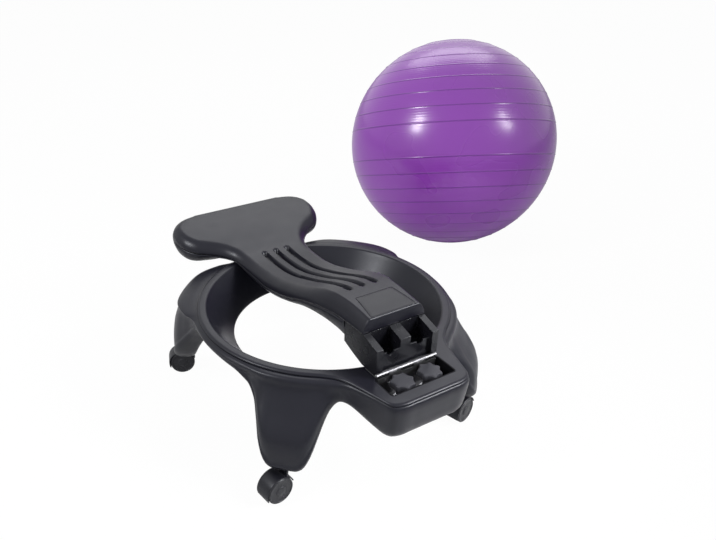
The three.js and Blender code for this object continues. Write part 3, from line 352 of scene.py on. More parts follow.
# %% The base's plan
ring_top_z, parting_drop, hole_r, hole_edge_z = 205, 4.5, 160.5, 146
parting_z = ring_top_z - parting_drop
hub_rear_y = 304.6
hub_swell = curve_through([
    (0, 1), (5.6, 1.018), (10, 1.052), (12.3, 1.038), (14, 0.974), (15, 0.88), (16.4, 0.739), (17.6, 0.633),
    (19.8, 0.457), (23.6, 0.21), (27, 0.087), (30.5, 0.03), (35, 0),
])


def from_rear(angle):
    return np.abs((angle + 90 + 180) % 360 - 180)


front_leg, rear_leg, front_breadth, heel_breadth = 45, 44.5, 1.3, 1.52


def from_leg(angle):
    """Degrees from the middle of the nearest leg; a front leg is broader, most of all behind."""
    rear = from_rear(angle)
    behind = 180 - rear - front_leg
    ahead = np.abs(behind)
    ahead = ahead / mix(np.where(behind > 0, heel_breadth, front_breadth), 1, smooth(20, 40, ahead))
    return np.where(rear < 90, np.abs(rear - rear_leg), ahead)


def parting_radius(angle):
    return parting_r + (hub_rear_y - parting_r) * hub_swell(from_rear(angle))


print("hub reach", float(parting_radius(np.array(270.0))), "mm")

# %% Sections of the lower shell
ring_bulge, ring_depth = 7.1, 57.3
hub_draft, hub_depth = 12, 66.5
leg_reach, leg_bottom_z = 61.6, 56.5
ring_shares = {
    "out": [0, 0.5, 0.85, 1, 0.95, 0.8, 0.5, 0, -0.8],
    "in": [0.845, 0.68, 0.535, 0.39, 0.245, 0.11, 0],
    "drop": [0, 0.03, 0.07, 0.11, 0.15, 0.19, 0.225, 0.245, 0.25, 0.28, 0.435, 0.635, 0.81, 0.95, 1, 1],
}
hub_shares = {
    "out": [0, 0.17, 0.2, 0.08, -0.08, -0.25, -0.5, -1, -1.83],
    "in": [0.74, 0.62, 0.49, 0.36, 0.24, 0.11, 0],
    "drop": [0, 0.053, 0.158, 0.338, 0.534, 0.729, 0.865, 0.955, 0.992, 1, 0.992, 0.977, 0.955, 0.917, 0.872, 0.861],
}
leg_drop = [0, 0.007, 0.052, 0.17, 0.351, 0.594, 0.837, 0.958, 1, 0.99, 0.92, 0.767, 0.559, 0.434, 0.413, 0.398]
front_shares = {
    "out": [0, 0.278, 0.66, 0.74, 0.878, 0.968, 1, 0.965, 0.8, 0.46, 0.294, 0.214, 0.053],
    "in": [0.71, 0.3, 0], "drop": leg_drop,
}
rear_shares = {
    "out": [0, 0.13, 0.2, 0.3, 0.56, 0.93, 1, 0.95, 0.76, 0.438, 0.294, 0.214, 0.053],
    "in": [0.71, 0.3, 0], "drop": leg_drop,
}
arch_share = curve_through([
    (0, 1), (3.4, 1), (5.7, 0.97), (7.8, 0.86), (10.6, 0.62), (12.9, 0.43), (15.4, 0.28), (19.6, 0.14),
    (26.5, 0.04), (45, 0),
])
face_share = curve_through([(0, 1), (4.1, 1), (6.8, 0.95), (9, 0.8), (11.5, 0.5), (14.6, 0.2), (19, 0.05), (45, 0)])
shoulder_share = curve_through([(0, 1), (5.7, 1), (9.5, 0.95), (15.8, 0.6), (20, 0.2), (25.3, 0.04), (45, 0)])
shell_places, face_places, edge_place = 16, 10, 7.4


def section(shares, reach, depth, outer, j):
    """Radius and height of control point j of one section, for a parting radius."""
    out, inward, drop = (np.array(shares[key]) for key in ("out", "in", "drop"))
    near = outer + reach * out[np.minimum(j, len(out) - 1)]
    far = mix(hole_r, outer, inward[np.clip(j - len(out), 0, len(inward) - 1)])
    return np.where(j < len(out), near, far), parting_z - depth * drop[j]


def shell_control(angle, j):
    """Radius and height of control point j at an angle, blended between ring, hub and leg."""
    outer = parting_radius(angle)
    rear = from_rear(angle)
    hub = 1 - smooth(11.5, 31, rear)
    away = from_leg(angle)
    arch = arch_share(away) * (1 - hub)
    face = mix(shoulder_share(away), face_share(away), smooth(1, 4, j)) * (1 - hub)
    ring_r, ring_z = section(ring_shares, ring_bulge, ring_depth, outer, j)
    hub_r, hub_z = section(hub_shares, hub_draft, hub_depth, outer, j)
    front_r, leg_z = section(front_shares, leg_reach, parting_z - leg_bottom_z, outer, j)
    rear_r, leg_z = section(rear_shares, leg_reach, parting_z - leg_bottom_z, outer, j)
    leg_r = np.where(rear > 90, front_r, rear_r)
    r = mix(mix(ring_r, hub_r, hub), leg_r, np.where(j < face_places, face, arch))
    return r, mix(mix(ring_z, hub_z, hub), leg_z, arch)


def through_controls(control, count, angle, at):
    """Radius and height at a fractional place, by a curve through the four nearest control points."""
    k = np.clip(np.floor(at).astype(int), 0, count - 2)
    t = at - k
    weights = (
        -0.5 * t + t * t - 0.5 * t**3,
        1 - 2.5 * t * t + 1.5 * t**3,
        0.5 * t + 2 * t * t - 1.5 * t**3,
        -0.5 * t * t + 0.5 * t**3,
    )
    r, z = 0, 0
    for offset, weight in zip((-1, 0, 1, 2), weights):
        radius, height = control(angle, np.clip(k + offset, 0, count - 1))
        r = r + weight * radius
        z = z + weight * height
    return r, z


print("section points", shell_places)

# %% [markdown]
# A leg isn't a plain bump. A flange as wide as the ring's wall runs along the arches, down both edges of a
# leg and under it, and the face inside that flange is set back a little. So each point's depth follows from
# its distance to the lower edge, which is measured in space, because the edge climbs and falls.

# %% Skin of the lower shell
flange_width, flange_step, leg_dish_depth = 11.0, 3.2, 2.6
groove_inset, shell_rows, ring_steps = 0.7, 84, 400


def spun_sheet(places, steps, last):
    """An upright strip of edges spun into a tube: the angle and the height of each point say where it goes."""
    bm = bmesh.new()
    verts = [bm.verts.new((1, 0, last * k / places)) for k in range(places + 1)]
    edges = [bm.edges.new(pair) for pair in zip(verts, verts[1:])]
    bmesh.ops.spin(
        bm, geom=verts + edges, cent=(0, 0, 0), axis=(0, 0, 1), angle=2 * math.pi, steps=steps, use_merge=True
    )
    co = np.array([v.co for v in bm.verts])
    return bm, np.degrees(np.arctan2(co[:, 1], co[:, 0])), co[:, 2]


def set_round(bm, angle, r, z):
    """Moves the points of a spun sheet to their radius and height about the ring's centre."""
    turn = np.radians(angle)
    for v, x, y, height in zip(bm.verts, r * np.cos(turn), r * np.sin(turn), z):
        v.co = place(x, y, height)


def in_space(angle, r, z):
    turn = np.radians(angle)
    return np.column_stack([r * np.cos(turn), r * np.sin(turn), z])


def nearest_distance(points, others):
    return np.sqrt(np.concatenate([
        ((some[:, None, :] - others[None]) ** 2).sum(2).min(1) for some in np.array_split(points, 60)
    ]))


shell_bm, angle, at = spun_sheet(shell_rows, ring_steps, shell_places - 1)
r, z = through_controls(shell_control, shell_places, angle, at)
edge_angle = np.arange(0, 360, 0.5)
edge_r, edge_z = through_controls(shell_control, shell_places, edge_angle, np.full(len(edge_angle), edge_place))
from_edge = nearest_distance(in_space(angle, r, z), in_space(edge_angle, edge_r, edge_z))
on_leg = smooth(30, 36, from_rear(angle)) * (at < edge_place)
set_back = smooth(flange_width, flange_width + flange_step, from_edge) * smooth(3, 16, parting_z - z)
r = r - leg_dish_depth * set_back * on_leg
r = r - groove_inset * (1 - smooth(0, 0.35, at))
set_round(shell_bm, angle, r, z)
base_shell = finished("moulded_base", shell_bm, satin_black, "base_shell", wall=2.9 * mm, edge=50)
face_towards(base_shell, (0, 0, -1))
print("base shell", len(base_shell.data.polygons), "faces, down to", round(float(z.min()), 1), "mm")

# %% [markdown]
# The top cover closes the ring and the hub. Its rim and the lip that carries the ball are rounded; inside
# the lip the dish runs down to the hole. The profile is drawn once as arcs and lines and spun; only the
# rim follows the hub's outline. The recess for the knobs is then cut out of the hub's deck.

# %% Top cover
rim_round, lip_round, seat_edge_r = 5.4, 5.8, 205.2


def cover_profile():
    """(follows rim, radius or offset, height) of each point, from the groove over the top to the hole."""
    points = [(1, -3.0, parting_z + 0.3), (1, -0.8, parting_z + 0.3), (1, 0.0, parting_z + 1.0)]
    for k in range(9):
        turn = math.pi / 2 * k / 8
        rise = ring_top_z - parting_z - 1.0
        points.append((1, -rim_round * (1 - math.cos(turn)), parting_z + 1.0 + rise * math.sin(turn)))
    points.append((1, -rim_round - 3, ring_top_z))
    points.append((0, seat_edge_r + lip_round + 3, ring_top_z))
    lip_r, lip_z = seat_edge_r + lip_round, ring_top_z - lip_round
    slope_turn = math.pi * 0.83
    for k in range(10):
        turn = math.pi / 2 + (slope_turn - math.pi / 2) * k / 9
        points.append((0, lip_r + lip_round * math.cos(turn), lip_z + lip_round * math.sin(turn)))
    start_r, start_z = points[-1][1], points[-1][2]
    for k in range(1, 13):
        points.append((0, mix(start_r, hole_r + 1.2, k / 12), mix(start_z, hole_edge_z + 1.6, k / 12)))
    points += [(0, hole_r + 0.3, hole_edge_z + 0.2), (0, hole_r, hole_edge_z - 1.2)]
    return np.array(points)


profile = cover_profile()
cover_bm, angle, at = spun_sheet(len(profile) - 1, ring_steps, len(profile) - 1)
row = profile[np.rint(at).astype(int)]
outer = parting_radius(angle)
inner_r = row[:, 1]
across = np.where(row[:, 0] > 0, outer + row[:, 1], np.minimum(inner_r, outer - rim_round - 3.5))
set_round(cover_bm, angle, across, row[:, 2])
bmesh.ops.recalc_face_normals(cover_bm, faces=cover_bm.faces)
bmesh.ops.solidify(cover_bm, geom=cover_bm.faces[:], thickness=2.8 * mm)
print("cover profile", len(profile), "points")

# %% Recess in the hub's deck
recess_half, recess_front, recess_rear, recess_corner = 61, -235, -282.5, 6
recess_low_z, recess_high_z = 190, 225


def rounded_block(half_x, y0, y1, z0, z1, corner):
    """A block with rounded upright edges."""
    bm = bmesh.new()
    bmesh.ops.create_cube(bm, size=1)
    middle = place(0, (y0 + y1) / 2, (z0 + z1) / 2)
    bmesh.ops.scale(bm, vec=(2 * half_x * mm, (y1 - y0) * mm, (z1 - z0) * mm), verts=bm.verts)
    bmesh.ops.translate(bm, vec=middle, verts=bm.verts)
    upright = [e for e in bm.edges if abs(e.verts[0].co.z - e.verts[1].co.z) > mm]
    bmesh.ops.bevel(
        bm, geom=upright, offset=corner * mm, segments=6, affect="EDGES", profile=0.5, material=-1
    )
    return bm


def cut_away(piece, cutter_bm):
    """Cuts a solid out of a piece and keeps the cut mesh."""
    cutter_mesh = bpy.data.meshes.new("cutter")
    bmesh.ops.recalc_face_normals(cutter_bm, faces=cutter_bm.faces)
    cutter_bm.to_mesh(cutter_mesh)
    cutter_bm.free()
    cutter = bpy.data.objects.new("cutter", cutter_mesh)
    scene.collection.objects.link(cutter)
    cut = piece.modifiers.new("cut", "BOOLEAN")
    cut.operation, cut.object, cut.solver = "DIFFERENCE", cutter, "EXACT"
    bpy.context.view_layer.update()
    result = bpy.data.meshes.new_from_object(piece.evaluated_get(bpy.context.evaluated_depsgraph_get()))
    piece.modifiers.remove(cut)
    old = piece.data
    piece.data = result
    result.name = piece.name
    bpy.data.meshes.remove(old)
    bpy.data.objects.remove(cutter)
    bpy.data.meshes.remove(cutter_mesh)


top_cover = finished("top_cover", cover_bm, satin_black, "ring_top_cover", recalc=False)
recess = rounded_block(recess_half, recess_rear, recess_front, recess_low_z, recess_high_z, recess_corner)
cut_away(top_cover, recess)
top_cover.data.set_sharp_from_angle(angle=math.radians(40))
print("top cover", len(top_cover.data.polygons), "faces")

# %% [markdown]
# The backrest is two long mouldings, rear over front, folded over the ring. Its middle line is an S that
# rises from the knobs over the ring and dips before the wide head. Both skins are grids: one way runs
# along that S, the other across to the outline, and an edge rounding falls off by distance to the outline.

# %% Curves of the backrest
foot_end_y, backrest_length, arch_rise = -201, 558, 86
head_half_width, arm_half_width, edge_round, foot_edge_round = 158.5, 58, 19, 13
groove_half, groove_pitch, groove_depth, groove_foot_y, groove_head_y = 5.6, 24.5, 8, -118, 178
panel_far_y, panel_far_half, panel_near_half = -145, 34, 42
bracket_far_y = -152


def along(share):
    return foot_end_y + share * backrest_length


def arch_curve(shares):
    return curve_through([(along(s), ring_top_z + h * arch_rise) for s, h in shares])


top_curve = arch_curve([
    (0, 0.953), (0.056, 0.983), (0.101, 1), (0.15, 0.988), (0.188, 0.942), (0.241, 0.831), (0.322, 0.622),
    (0.4, 0.448), (0.473, 0.314), (0.54, 0.244), (0.618, 0.221), (0.68, 0.244), (0.745, 0.316), (0.817, 0.415),
    (0.908, 0.525), (1, 0.595),
])
parting_curve = arch_curve([
    (0, 0.686), (0.092, 0.663), (0.183, 0.616), (0.274, 0.465), (0.364, 0.233), (0.455, 0.07), (0.545, 0.012),
    (0.636, 0.012), (0.726, 0.087), (0.817, 0.186), (0.908, 0.273), (1, 0.35),
])
low_curve = arch_curve([
    (0.089, 0.19), (0.138, 0.245), (0.19, 0.285), (0.234, 0.28), (0.283, 0.235), (0.397, 0.012), (0.473, -0.116),
    (0.545, -0.186), (0.609, -0.198), (0.655, -0.15), (0.685, -0.06), (0.705, 0.007), (0.735, 0.012),
    (0.768, 0.012), (0.8, -0.06), (0.85, -0.125), (0.92, -0.09), (1, 0.04),
])
width_share = curve_through([(along(s), w) for s, w in (
    (0, 0), (0.11, 0.015), (0.19, 0.065), (0.255, 0.095), (0.364, 0.105), (0.473, 0.115), (0.6, 0.125),
    (0.663, 0.145), (0.708, 0.2), (0.741, 0.31), (0.766, 0.46), (0.786, 0.63), (0.804, 0.78), (0.828, 0.89),
    (0.857, 0.965), (0.895, 1), (0.926, 0.985), (0.953, 0.91), (0.975, 0.78), (0.989, 0.62), (1, 0.38),
)])


def half_width(y):
    return arm_half_width + (head_half_width - arm_half_width) * width_share(y)


outline_y = np.linspace(foot_end_y - 2 * edge_round, along(1), 260)
outline_x = half_width(outline_y)
outline = np.column_stack([np.append(outline_x, 0), np.append(outline_y, along(1))])


def edge_distance(x, y):
    """Distance of points from the outline of the backrest, in plan."""
    x = np.abs(x)
    best = np.full(len(x), 1e9)
    for (ax, ay), (bx, by) in zip(outline, outline[1:]):
        length = (bx - ax) ** 2 + (by - ay) ** 2
        t = np.clip(((x - ax) * (bx - ax) + (y - ay) * (by - ay)) / length, 0, 1)
        best = np.minimum(best, np.hypot(x - ax - t * (bx - ax), y - ay - t * (by - ay)))
    return best


def crown(distance, radius, power):
    u = 1 - np.clip(distance / radius, 0, 1)
    return (1 - u**power) ** (1 / power)


print("backrest", backrest_length, "mm long,", 2 * head_half_width, "mm wide")

# %% Rear shell with its grooves and the pocket for the bare plate
pocket_depth, pocket_gap, grid_columns, grid_rows = 1.6, 0.3, 150, 230


def fanned(count, ease):
    """Places from -1 to 1, closer together towards both ends."""
    t = np.linspace(-1, 1, count)
    return np.sign(t) * (1 - (1 - np.abs(t)) ** ease)


def groove_fall(x, y):
    nearest = groove_pitch * np.clip(np.rint(x / groove_pitch), -1, 1)
    past = np.maximum(np.maximum(groove_foot_y + groove_half - y, y - (groove_head_y - groove_half)), 0)
    away = np.hypot(x - nearest, past)
    return groove_depth * (1 - smooth(groove_half - 2.4, groove_half + 0.5, away))


def pocket_fall(x, y):
    share = (y - foot_end_y) / (panel_far_y - foot_end_y)
    half = mix(panel_near_half, panel_far_half, share) + pocket_gap
    inside = (np.abs(x) < half) & (y < panel_far_y + pocket_gap) & (y > foot_end_y + 2.4)
    return pocket_depth * inside


def sheet_of(rows, columns, row_y, row_share):
    """A flat grid with rows along the backrest; gives each point its row, place across and place along."""
    bm = bmesh.new()
    bmesh.ops.create_grid(bm, x_segments=columns - 1, y_segments=rows - 1, size=1)
    co = np.array([v.co for v in bm.verts])
    row = np.rint((co[:, 1] + 1) / 2 * (rows - 1)).astype(int)
    column = np.rint((co[:, 0] + 1) / 2 * (columns - 1)).astype(int)
    across = fanned(columns, 1.35)[column]
    y = row_y[row]
    return bm, across * half_width(y), y, row_share[row]


end_rows = [(0.9, 0.0), (0.25, 0.05), (0.0, 0.12), (0.0, 0.8), (0.35, 0.93), (1.2, 0.985)]
main_y = np.concatenate([
    np.linspace(foot_end_y + 2.4, panel_far_y - 1, 40), np.linspace(panel_far_y + 0.1, panel_far_y + 1.1, 3),
    np.linspace(panel_far_y + 2.2, along(1) - 12, grid_rows - 60), along(1) - 12 * np.linspace(0.94, 0, 17) ** 1.8,
])
row_y = np.concatenate([[foot_end_y + d for d, _ in end_rows], main_y])
row_share = np.concatenate([[h for _, h in end_rows], np.ones(len(main_y))])
rear_bm, x, y, share = sheet_of(len(row_y), grid_columns, row_y, row_share)
distance = edge_distance(x, y)
round_here = mix(foot_edge_round, edge_round, smooth(along(0.13), along(0.33), y))
power = mix(1.6, 2.0, smooth(along(0.15), along(0.36), y))
lift = crown(distance, round_here, power)
parting = parting_curve(y)
z = parting + (top_curve(y) - parting) * lift * share - groove_fall(x, y) - pocket_fall(x, y)
for v, px, py, pz in zip(rear_bm.verts, x, y, z):
    v.co = place(px, py, pz)
rear_shell = finished("backrest_rear", rear_bm, satin_black, "backrest_rear_shell", wall=2.6 * mm, edge=60)
face_towards(rear_shell, (0, 0, 1))
print("rear shell", len(rear_shell.data.polygons), "faces, top at", round(float(z.max()), 1), "mm")

# %% [markdown]
# The front shell closes the backrest from below. It is the same kind of grid, hung from the parting line
# by the lower curve of the S, and it starts beyond the bracket that grips the foot.

# %% Front shell
shell_gap, front_columns = 0.7, 90
front_rows = np.concatenate([
    [bracket_far_y + 0.4, bracket_far_y + 0.4], np.linspace(bracket_far_y + 1.0, along(1) - 12, 120),
    along(1) - 12 * np.linspace(0.94, 0, 15) ** 1.8,
])
front_share = np.concatenate([[0.0], np.ones(len(front_rows) - 1)])
front_bm, x, y, share = sheet_of(len(front_rows), front_columns, front_rows, front_share)
parting = parting_curve(y) - shell_gap
z = parting - (parting - low_curve(y)) * crown(edge_distance(x, y), edge_round, 2.0) * share
for v, px, py, pz in zip(front_bm.verts, x, y, z):
    v.co = place(px, py, pz)
front_shell = finished("backrest_front", front_bm, satin_black, "backrest_front_shell", wall=2.6 * mm, edge=60)
face_towards(front_shell, (0, 0, -1))
print("front shell", len(front_shell.data.polygons), "faces")

# %% [markdown]
# The plate let into the foot stays bare. It is a thin tapered sheet that follows the top of the foot.

# %% Bare plate
plate_bm = bmesh.new()
bmesh.ops.create_grid(plate_bm, x_segments=12, y_segments=12, size=1)
for v in plate_bm.verts:
    y = mix(foot_end_y + 3.0, panel_far_y, (v.co.y + 1) / 2)
    share = (y - foot_end_y) / (panel_far_y - foot_end_y)
    x = v.co.x * mix(panel_near_half, panel_far_half, share)
    v.co = place(x, y, float(top_curve(y)) - 1.3)
bmesh.ops.recalc_face_normals(plate_bm, faces=plate_bm.faces)
plate = finished("bare_plate", plate_bm, matt_black, "foot_panel", recalc=False)
face_towards(plate, (0, 0, 1))
plate_wall = plate.modifiers.new("thickness", "SOLIDIFY")
plate_wall.thickness, plate_wall.offset = 1.2 * mm, 1
plate_edge = plate.modifiers.new("edge", "BEVEL")
plate_edge.width, plate_edge.segments, plate_edge.limit_method = 0.35 * mm, 2, "ANGLE"
print("plate", [round(v / mm, 1) for v in plate.dimensions], "mm")

# %% [markdown]
# The small hard parts keep their CAD shape but no moulded or punched part has a knife edge. A copy of the
# CAD mesh has its loose triangles merged and its flats joined, and a fine bevel rounds what is sharp.

# %% Soft-edged copies of the small CAD parts
def softened(node_name, material, width, segments=2, limit=32):
    source = frame["nodes"][node_name]
    bm = bmesh.new()
    bm.from_mesh(source.data)
    bmesh.ops.remove_doubles(bm, verts=bm.verts, dist=1e-5)
    bmesh.ops.dissolve_limit(bm, angle_limit=math.radians(1), verts=bm.verts, edges=bm.edges)
    piece = finished(node_name + "_skin", bm, material, node_name, edge=limit)
    bevel = piece.modifiers.new("edge", "BEVEL")
    bevel.width, bevel.segments = width * mm, segments
    bevel.limit_method, bevel.angle_limit = "ANGLE", math.radians(limit)
    return piece


softened("foot_bracket", bracket_black, 1.1, 3)
# the tray wears the painted recess shade
softened("knob_tray", recess_shade_black, 0.5)
softened("hinge_fixed_leaf", zinc_plate, 0.25)
softened("hinge_moving_leaf", zinc_plate, 0.25)
for k in (1, 2, 3, 4, 5):
    softened(f"cover_screw_{k}", turned_steel, 0.3)
for k in (1, 2, 3, 4):
    softened(f"backrest_screw_{k}", turned_steel, 0.3)
for k in (1, 2):
    softened(f"foot_screw_{k}", turned_steel, 0.3)
for side in ("left", "right"):
    softened(f"knob_stud_{side}", turned_steel, 0.3)
    softened(f"knob_washer_{side}", turned_steel, 0.25)
for corner in ("rear_left", "rear_right", "front_left", "front_right"):
    softened(f"caster_socket_{corner}", matt_black, 0.3)
    softened(f"caster_stem_{corner}", turned_steel, 0.3)
    softened(f"caster_axle_{corner}", turned_steel, 0.3)
softened("hinge_pin", turned_steel, 0.3)

# %% [markdown]
# Each knob is a hand wheel with seven soft lobes, a flat top with a rounded shoulder, and a round neck
# below. A circle is drawn, its points are pulled in between the lobes, and rings of it are bridged.

# %% Clamping knobs
knob_r, knob_lobes, lobe_depth, knob_head, knob_neck_r = 19.8, 7, 3.3, 12, 9
knob_sides = knob_lobes * 16
stud_bore_depth, stud_bore_r, top_middle_r = 17, 4.4, 4.0


def lobed_ring(bm, middle, z, radius, depth):
    """One lobed ring of points at a height."""
    made = bmesh.ops.create_circle(bm, cap_ends=False, segments=knob_sides, radius=1.0)
    for v in made["verts"]:
        turn = math.atan2(v.co.y, v.co.x)
        lobe, waist = (1 - math.cos(knob_lobes * turn)) / 2, (1 - math.cos(2 * knob_lobes * turn)) / 2
        r = radius - depth * (lobe + waist / 4)
        v.co = Vector((middle.x + r * math.cos(turn) * mm, middle.y + r * math.sin(turn) * mm, z))
    return [e for e in bm.edges if e.verts[0] in made["verts"] and e.verts[1] in made["verts"]]


for side in ("left", "right"):
    low, high = (Vector(c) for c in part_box(f"knob_{side}"))
    middle = (low + high) / 2
    washer_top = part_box(f"knob_washer_{side}")[1][2]
    top = high.z
    rings = [
        (washer_top + stud_bore_depth * mm, stud_bore_r, 0), (washer_top + 0.35 * mm, stud_bore_r + 0.1, 0),
        (washer_top + 0.4 * mm, knob_neck_r - 0.6, 0), (washer_top + 1.0 * mm, knob_neck_r, 0),
        (top - knob_head * mm, knob_neck_r, 0),
        (top - (knob_head - 0.1) * mm, knob_r - 3, lobe_depth),
        (top - (knob_head - 1) * mm, knob_r - 0.8, lobe_depth),
        (top - (knob_head - 2.4) * mm, knob_r, lobe_depth), (top - 2.6 * mm, knob_r, lobe_depth),
        (top - 1.1 * mm, knob_r - 0.6, lobe_depth), (top - 0.4 * mm, knob_r - 1.7, lobe_depth * 0.96),
        (top - 0.15 * mm, knob_r - 3.4, lobe_depth * 0.9), (top - 0.07 * mm, knob_r - 9, lobe_depth * 0.3),
        (top, top_middle_r, 0),
    ]
    knob_bm = bmesh.new()
    loops = [lobed_ring(knob_bm, middle, z, r, depth) for z, r, depth in rings]
    for lower, upper in zip(loops, loops[1:]):
        bmesh.ops.bridge_loops(knob_bm, edges=lower + upper)
    for loop in (loops[0], loops[-1]):
        bmesh.ops.edgeloop_fill(knob_bm, edges=loop)
    finished(f"knob_{side}_body", knob_bm, knob_black, f"knob_{side}", edge=30)
print("knobs", knob_lobes, "lobes each")

# %% [markdown]
# A twin-wheel caster has a hood like half a drum with a web down its middle, and a wheel on each side of
# the web. Hood and wheels are both round about the axle, so their sections are spun: half a turn for the
# hood, a full turn for each wheel. The group is made round its stem and then turned to its heading.

# %% Casters
wheel_r, wheel_inner, trail = 23.5, 3.1, 17
hood_r, hood_t, hood_half, web_half = 26.5, 2.1, 14.6, 2.5
boss_foot_r, boss_top_r, boss_height, boss_middle_z = 6.4, 7.0, 12.4, 20.2
wheel_steps, hood_steps, hood_start = 72, 40, 20
headings = {"rear_left": 8, "rear_right": 15, "front_left": 340, "front_right": 210}
wheel_section = [
    (0, 11.9), (3.3, 11.9), (3.4, 0.2), (18.5, 0.2), (19.3, 0.9), (20.3, 0.9), (21.0, 0.1), (22.4, 0.3),
    (23.3, 1.1), (23.5, 2.4), (23.5, 9.4), (23.2, 10.6), (22.3, 11.5), (21.2, 11.8), (20.3, 11.7),
    (19.7, 11.0), (18.8, 10.8), (10.2, 10.8), (9.4, 11.1), (8.6, 11.9), (6.8, 12.4), (3.0, 12.6), (0, 12.6),
]


def spun_about_axle(bm, points, start, sweep, steps, closed):
    """Spins (radius, along the axle) points about the axle, at the trail behind the stem."""
    verts = [bm.verts.new((r * math.cos(start) * mm, w * mm, r * math.sin(start) * mm)) for r, w in points]
    pairs = list(zip(verts, verts[1:])) + ([(verts[-1], verts[0])] if closed else [])
    edges = [bm.edges.new(pair) for pair in pairs]
    made = bmesh.ops.spin(
        bm, geom=verts + edges, cent=(0, 0, 0), axis=(0, -1, 0), angle=sweep, steps=steps,
        use_merge=abs(sweep) > 6.28,
    )
    return verts, made


def stand_caster(bm, corner):
    """Moves a part made round the axle to its place under the leg."""
    low, high = (Vector(c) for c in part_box(f"caster_socket_{corner}"))
    stem = (low + high) / 2
    bmesh.ops.translate(bm, vec=(-trail * mm, 0, wheel_r * mm), verts=bm.verts)
    turn = Matrix.Rotation(math.radians(headings[corner]), 3, "Z")
    bmesh.ops.rotate(bm, cent=(0, 0, 0), matrix=turn, verts=bm.verts)
    bmesh.ops.translate(bm, vec=(stem.x, stem.y, 0), verts=bm.verts)


hood_section = [
    (hood_r - hood_t, -hood_half + 0.5), (hood_r - hood_t, hood_half - 0.5), (hood_r - 1.6, hood_half),
    (hood_r - 0.7, hood_half), (hood_r - 0.15, hood_half - 0.7), (hood_r, hood_half - 1.8),
    (hood_r, -hood_half + 1.8), (hood_r - 0.15, -hood_half + 0.7), (hood_r - 0.7, -hood_half),
    (hood_r - 1.6, -hood_half),
]
web_section = [(4.0, -web_half), (hood_r - 1.2, -web_half), (hood_r - 1.2, web_half), (4.0, web_half)]


for corner in headings:
    for side, sign in (("inner", -1), ("outer", 1)):
        wheel_bm = bmesh.new()
        points = [(r, sign * (wheel_inner + w)) for r, w in wheel_section]
        spun_about_axle(wheel_bm, points, 0, 2 * math.pi, wheel_steps, False)
        bmesh.ops.remove_doubles(wheel_bm, verts=wheel_bm.verts, dist=0.03 * mm)
        stand_caster(wheel_bm, corner)
        finished(f"wheel_{corner}_{side}", wheel_bm, wheel_black, f"caster_wheel_{corner}_{side}", edge=28)
    hood_bm = bmesh.new()
    for section_points in (hood_section, web_section):
        first, made = spun_about_axle(
            hood_bm, section_points, math.radians(hood_start), math.pi, hood_steps, True
        )
        last = [g for g in made["geom_last"] if isinstance(g, bmesh.types.BMVert)]
        for end in (first, last):
            bmesh.ops.contextual_create(hood_bm, geom=end)
    boss = bmesh.ops.create_cone(
        hood_bm, cap_ends=True, segments=32, radius1=boss_foot_r * mm, radius2=boss_top_r * mm,
        depth=boss_height * mm,
    )
    bmesh.ops.translate(hood_bm, vec=(trail * mm, 0, boss_middle_z * mm), verts=boss["verts"])
    stand_caster(hood_bm, corner)
    finished(f"hood_{corner}", hood_bm, matt_black, f"caster_hood_{corner}", edge=35)
print("casters", list(headings))

# %% [markdown]
# The ball is thin vinyl, rotation-moulded in a turned mould, so its fine rings are true circles about one
# axis and it has no seam at the equator. The rings are in the mesh: the profile has a ridge at each, and
# finer ripples between. It is spun about that axis and pressed flat where it stands.

# %% Ball
ball_r, skin_r, ball_flat = 260, 258.75, 1.5
ball_rows, ball_steps = 620, 128
pole = Vector((0.1571, 0.3293, 0.9311)).normalized()
first_ring, ring_pitch, last_ring = 8.7, 8.25, 75.0
ridge_height, ridge_half_width, ripple_height, ripples_per_ring = 0.75, 0.42, 0.1, 6
ball_low, ball_high = (Vector(c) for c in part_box("ball_shell"))
ball_centre = Vector(((ball_low.x + ball_high.x) / 2, (ball_low.y + ball_high.y) / 2, (ball_r - ball_flat) * mm))


def ring_relief(latitude):
    """Height of the moulded rings over the sphere at a latitude in degrees."""
    up = abs(latitude)
    if up < first_ring - 2 or up > last_ring:
        return 0.0
    nearest = first_ring + ring_pitch * round((up - first_ring) / ring_pitch)
    near = 1 - min(abs(up - nearest) / ridge_half_width, 1)
    ripple = 0.5 + 0.5 * math.cos(2 * math.pi * ripples_per_ring * (up - first_ring) / ring_pitch)
    return ridge_height * near * near * (3 - 2 * near) + ripple_height * ripple


ball_bm = bmesh.new()
latitudes = [-90 + 180 * k / ball_rows for k in range(ball_rows + 1)]
ball_points = []
for latitude in latitudes:
    radius = (skin_r + ring_relief(latitude)) * mm
    turn = math.radians(latitude)
    ball_points.append(ball_bm.verts.new((max(radius * math.cos(turn), 0.0), 0, radius * math.sin(turn))))
ball_edges = [ball_bm.edges.new(pair) for pair in zip(ball_points, ball_points[1:])]
bmesh.ops.spin(
    ball_bm, geom=ball_points + ball_edges, cent=(0, 0, 0), axis=(0, 0, 1), angle=2 * math.pi,
    steps=ball_steps, use_merge=True,
)
bmesh.ops.remove_doubles(ball_bm, verts=ball_bm.verts, dist=0.02 * mm)
tilt = Vector((0, 0, 1)).rotation_difference(pole).to_matrix()
bmesh.ops.rotate(ball_bm, cent=(0, 0, 0), matrix=tilt, verts=ball_bm.verts)
bmesh.ops.translate(ball_bm, vec=ball_centre, verts=ball_bm.verts)
for v in ball_bm.verts:
    v.co.z = max(v.co.z, 0.0)
print("ball", len(ball_bm.faces), "faces, centre", [round(c, 4) for c in ball_centre])
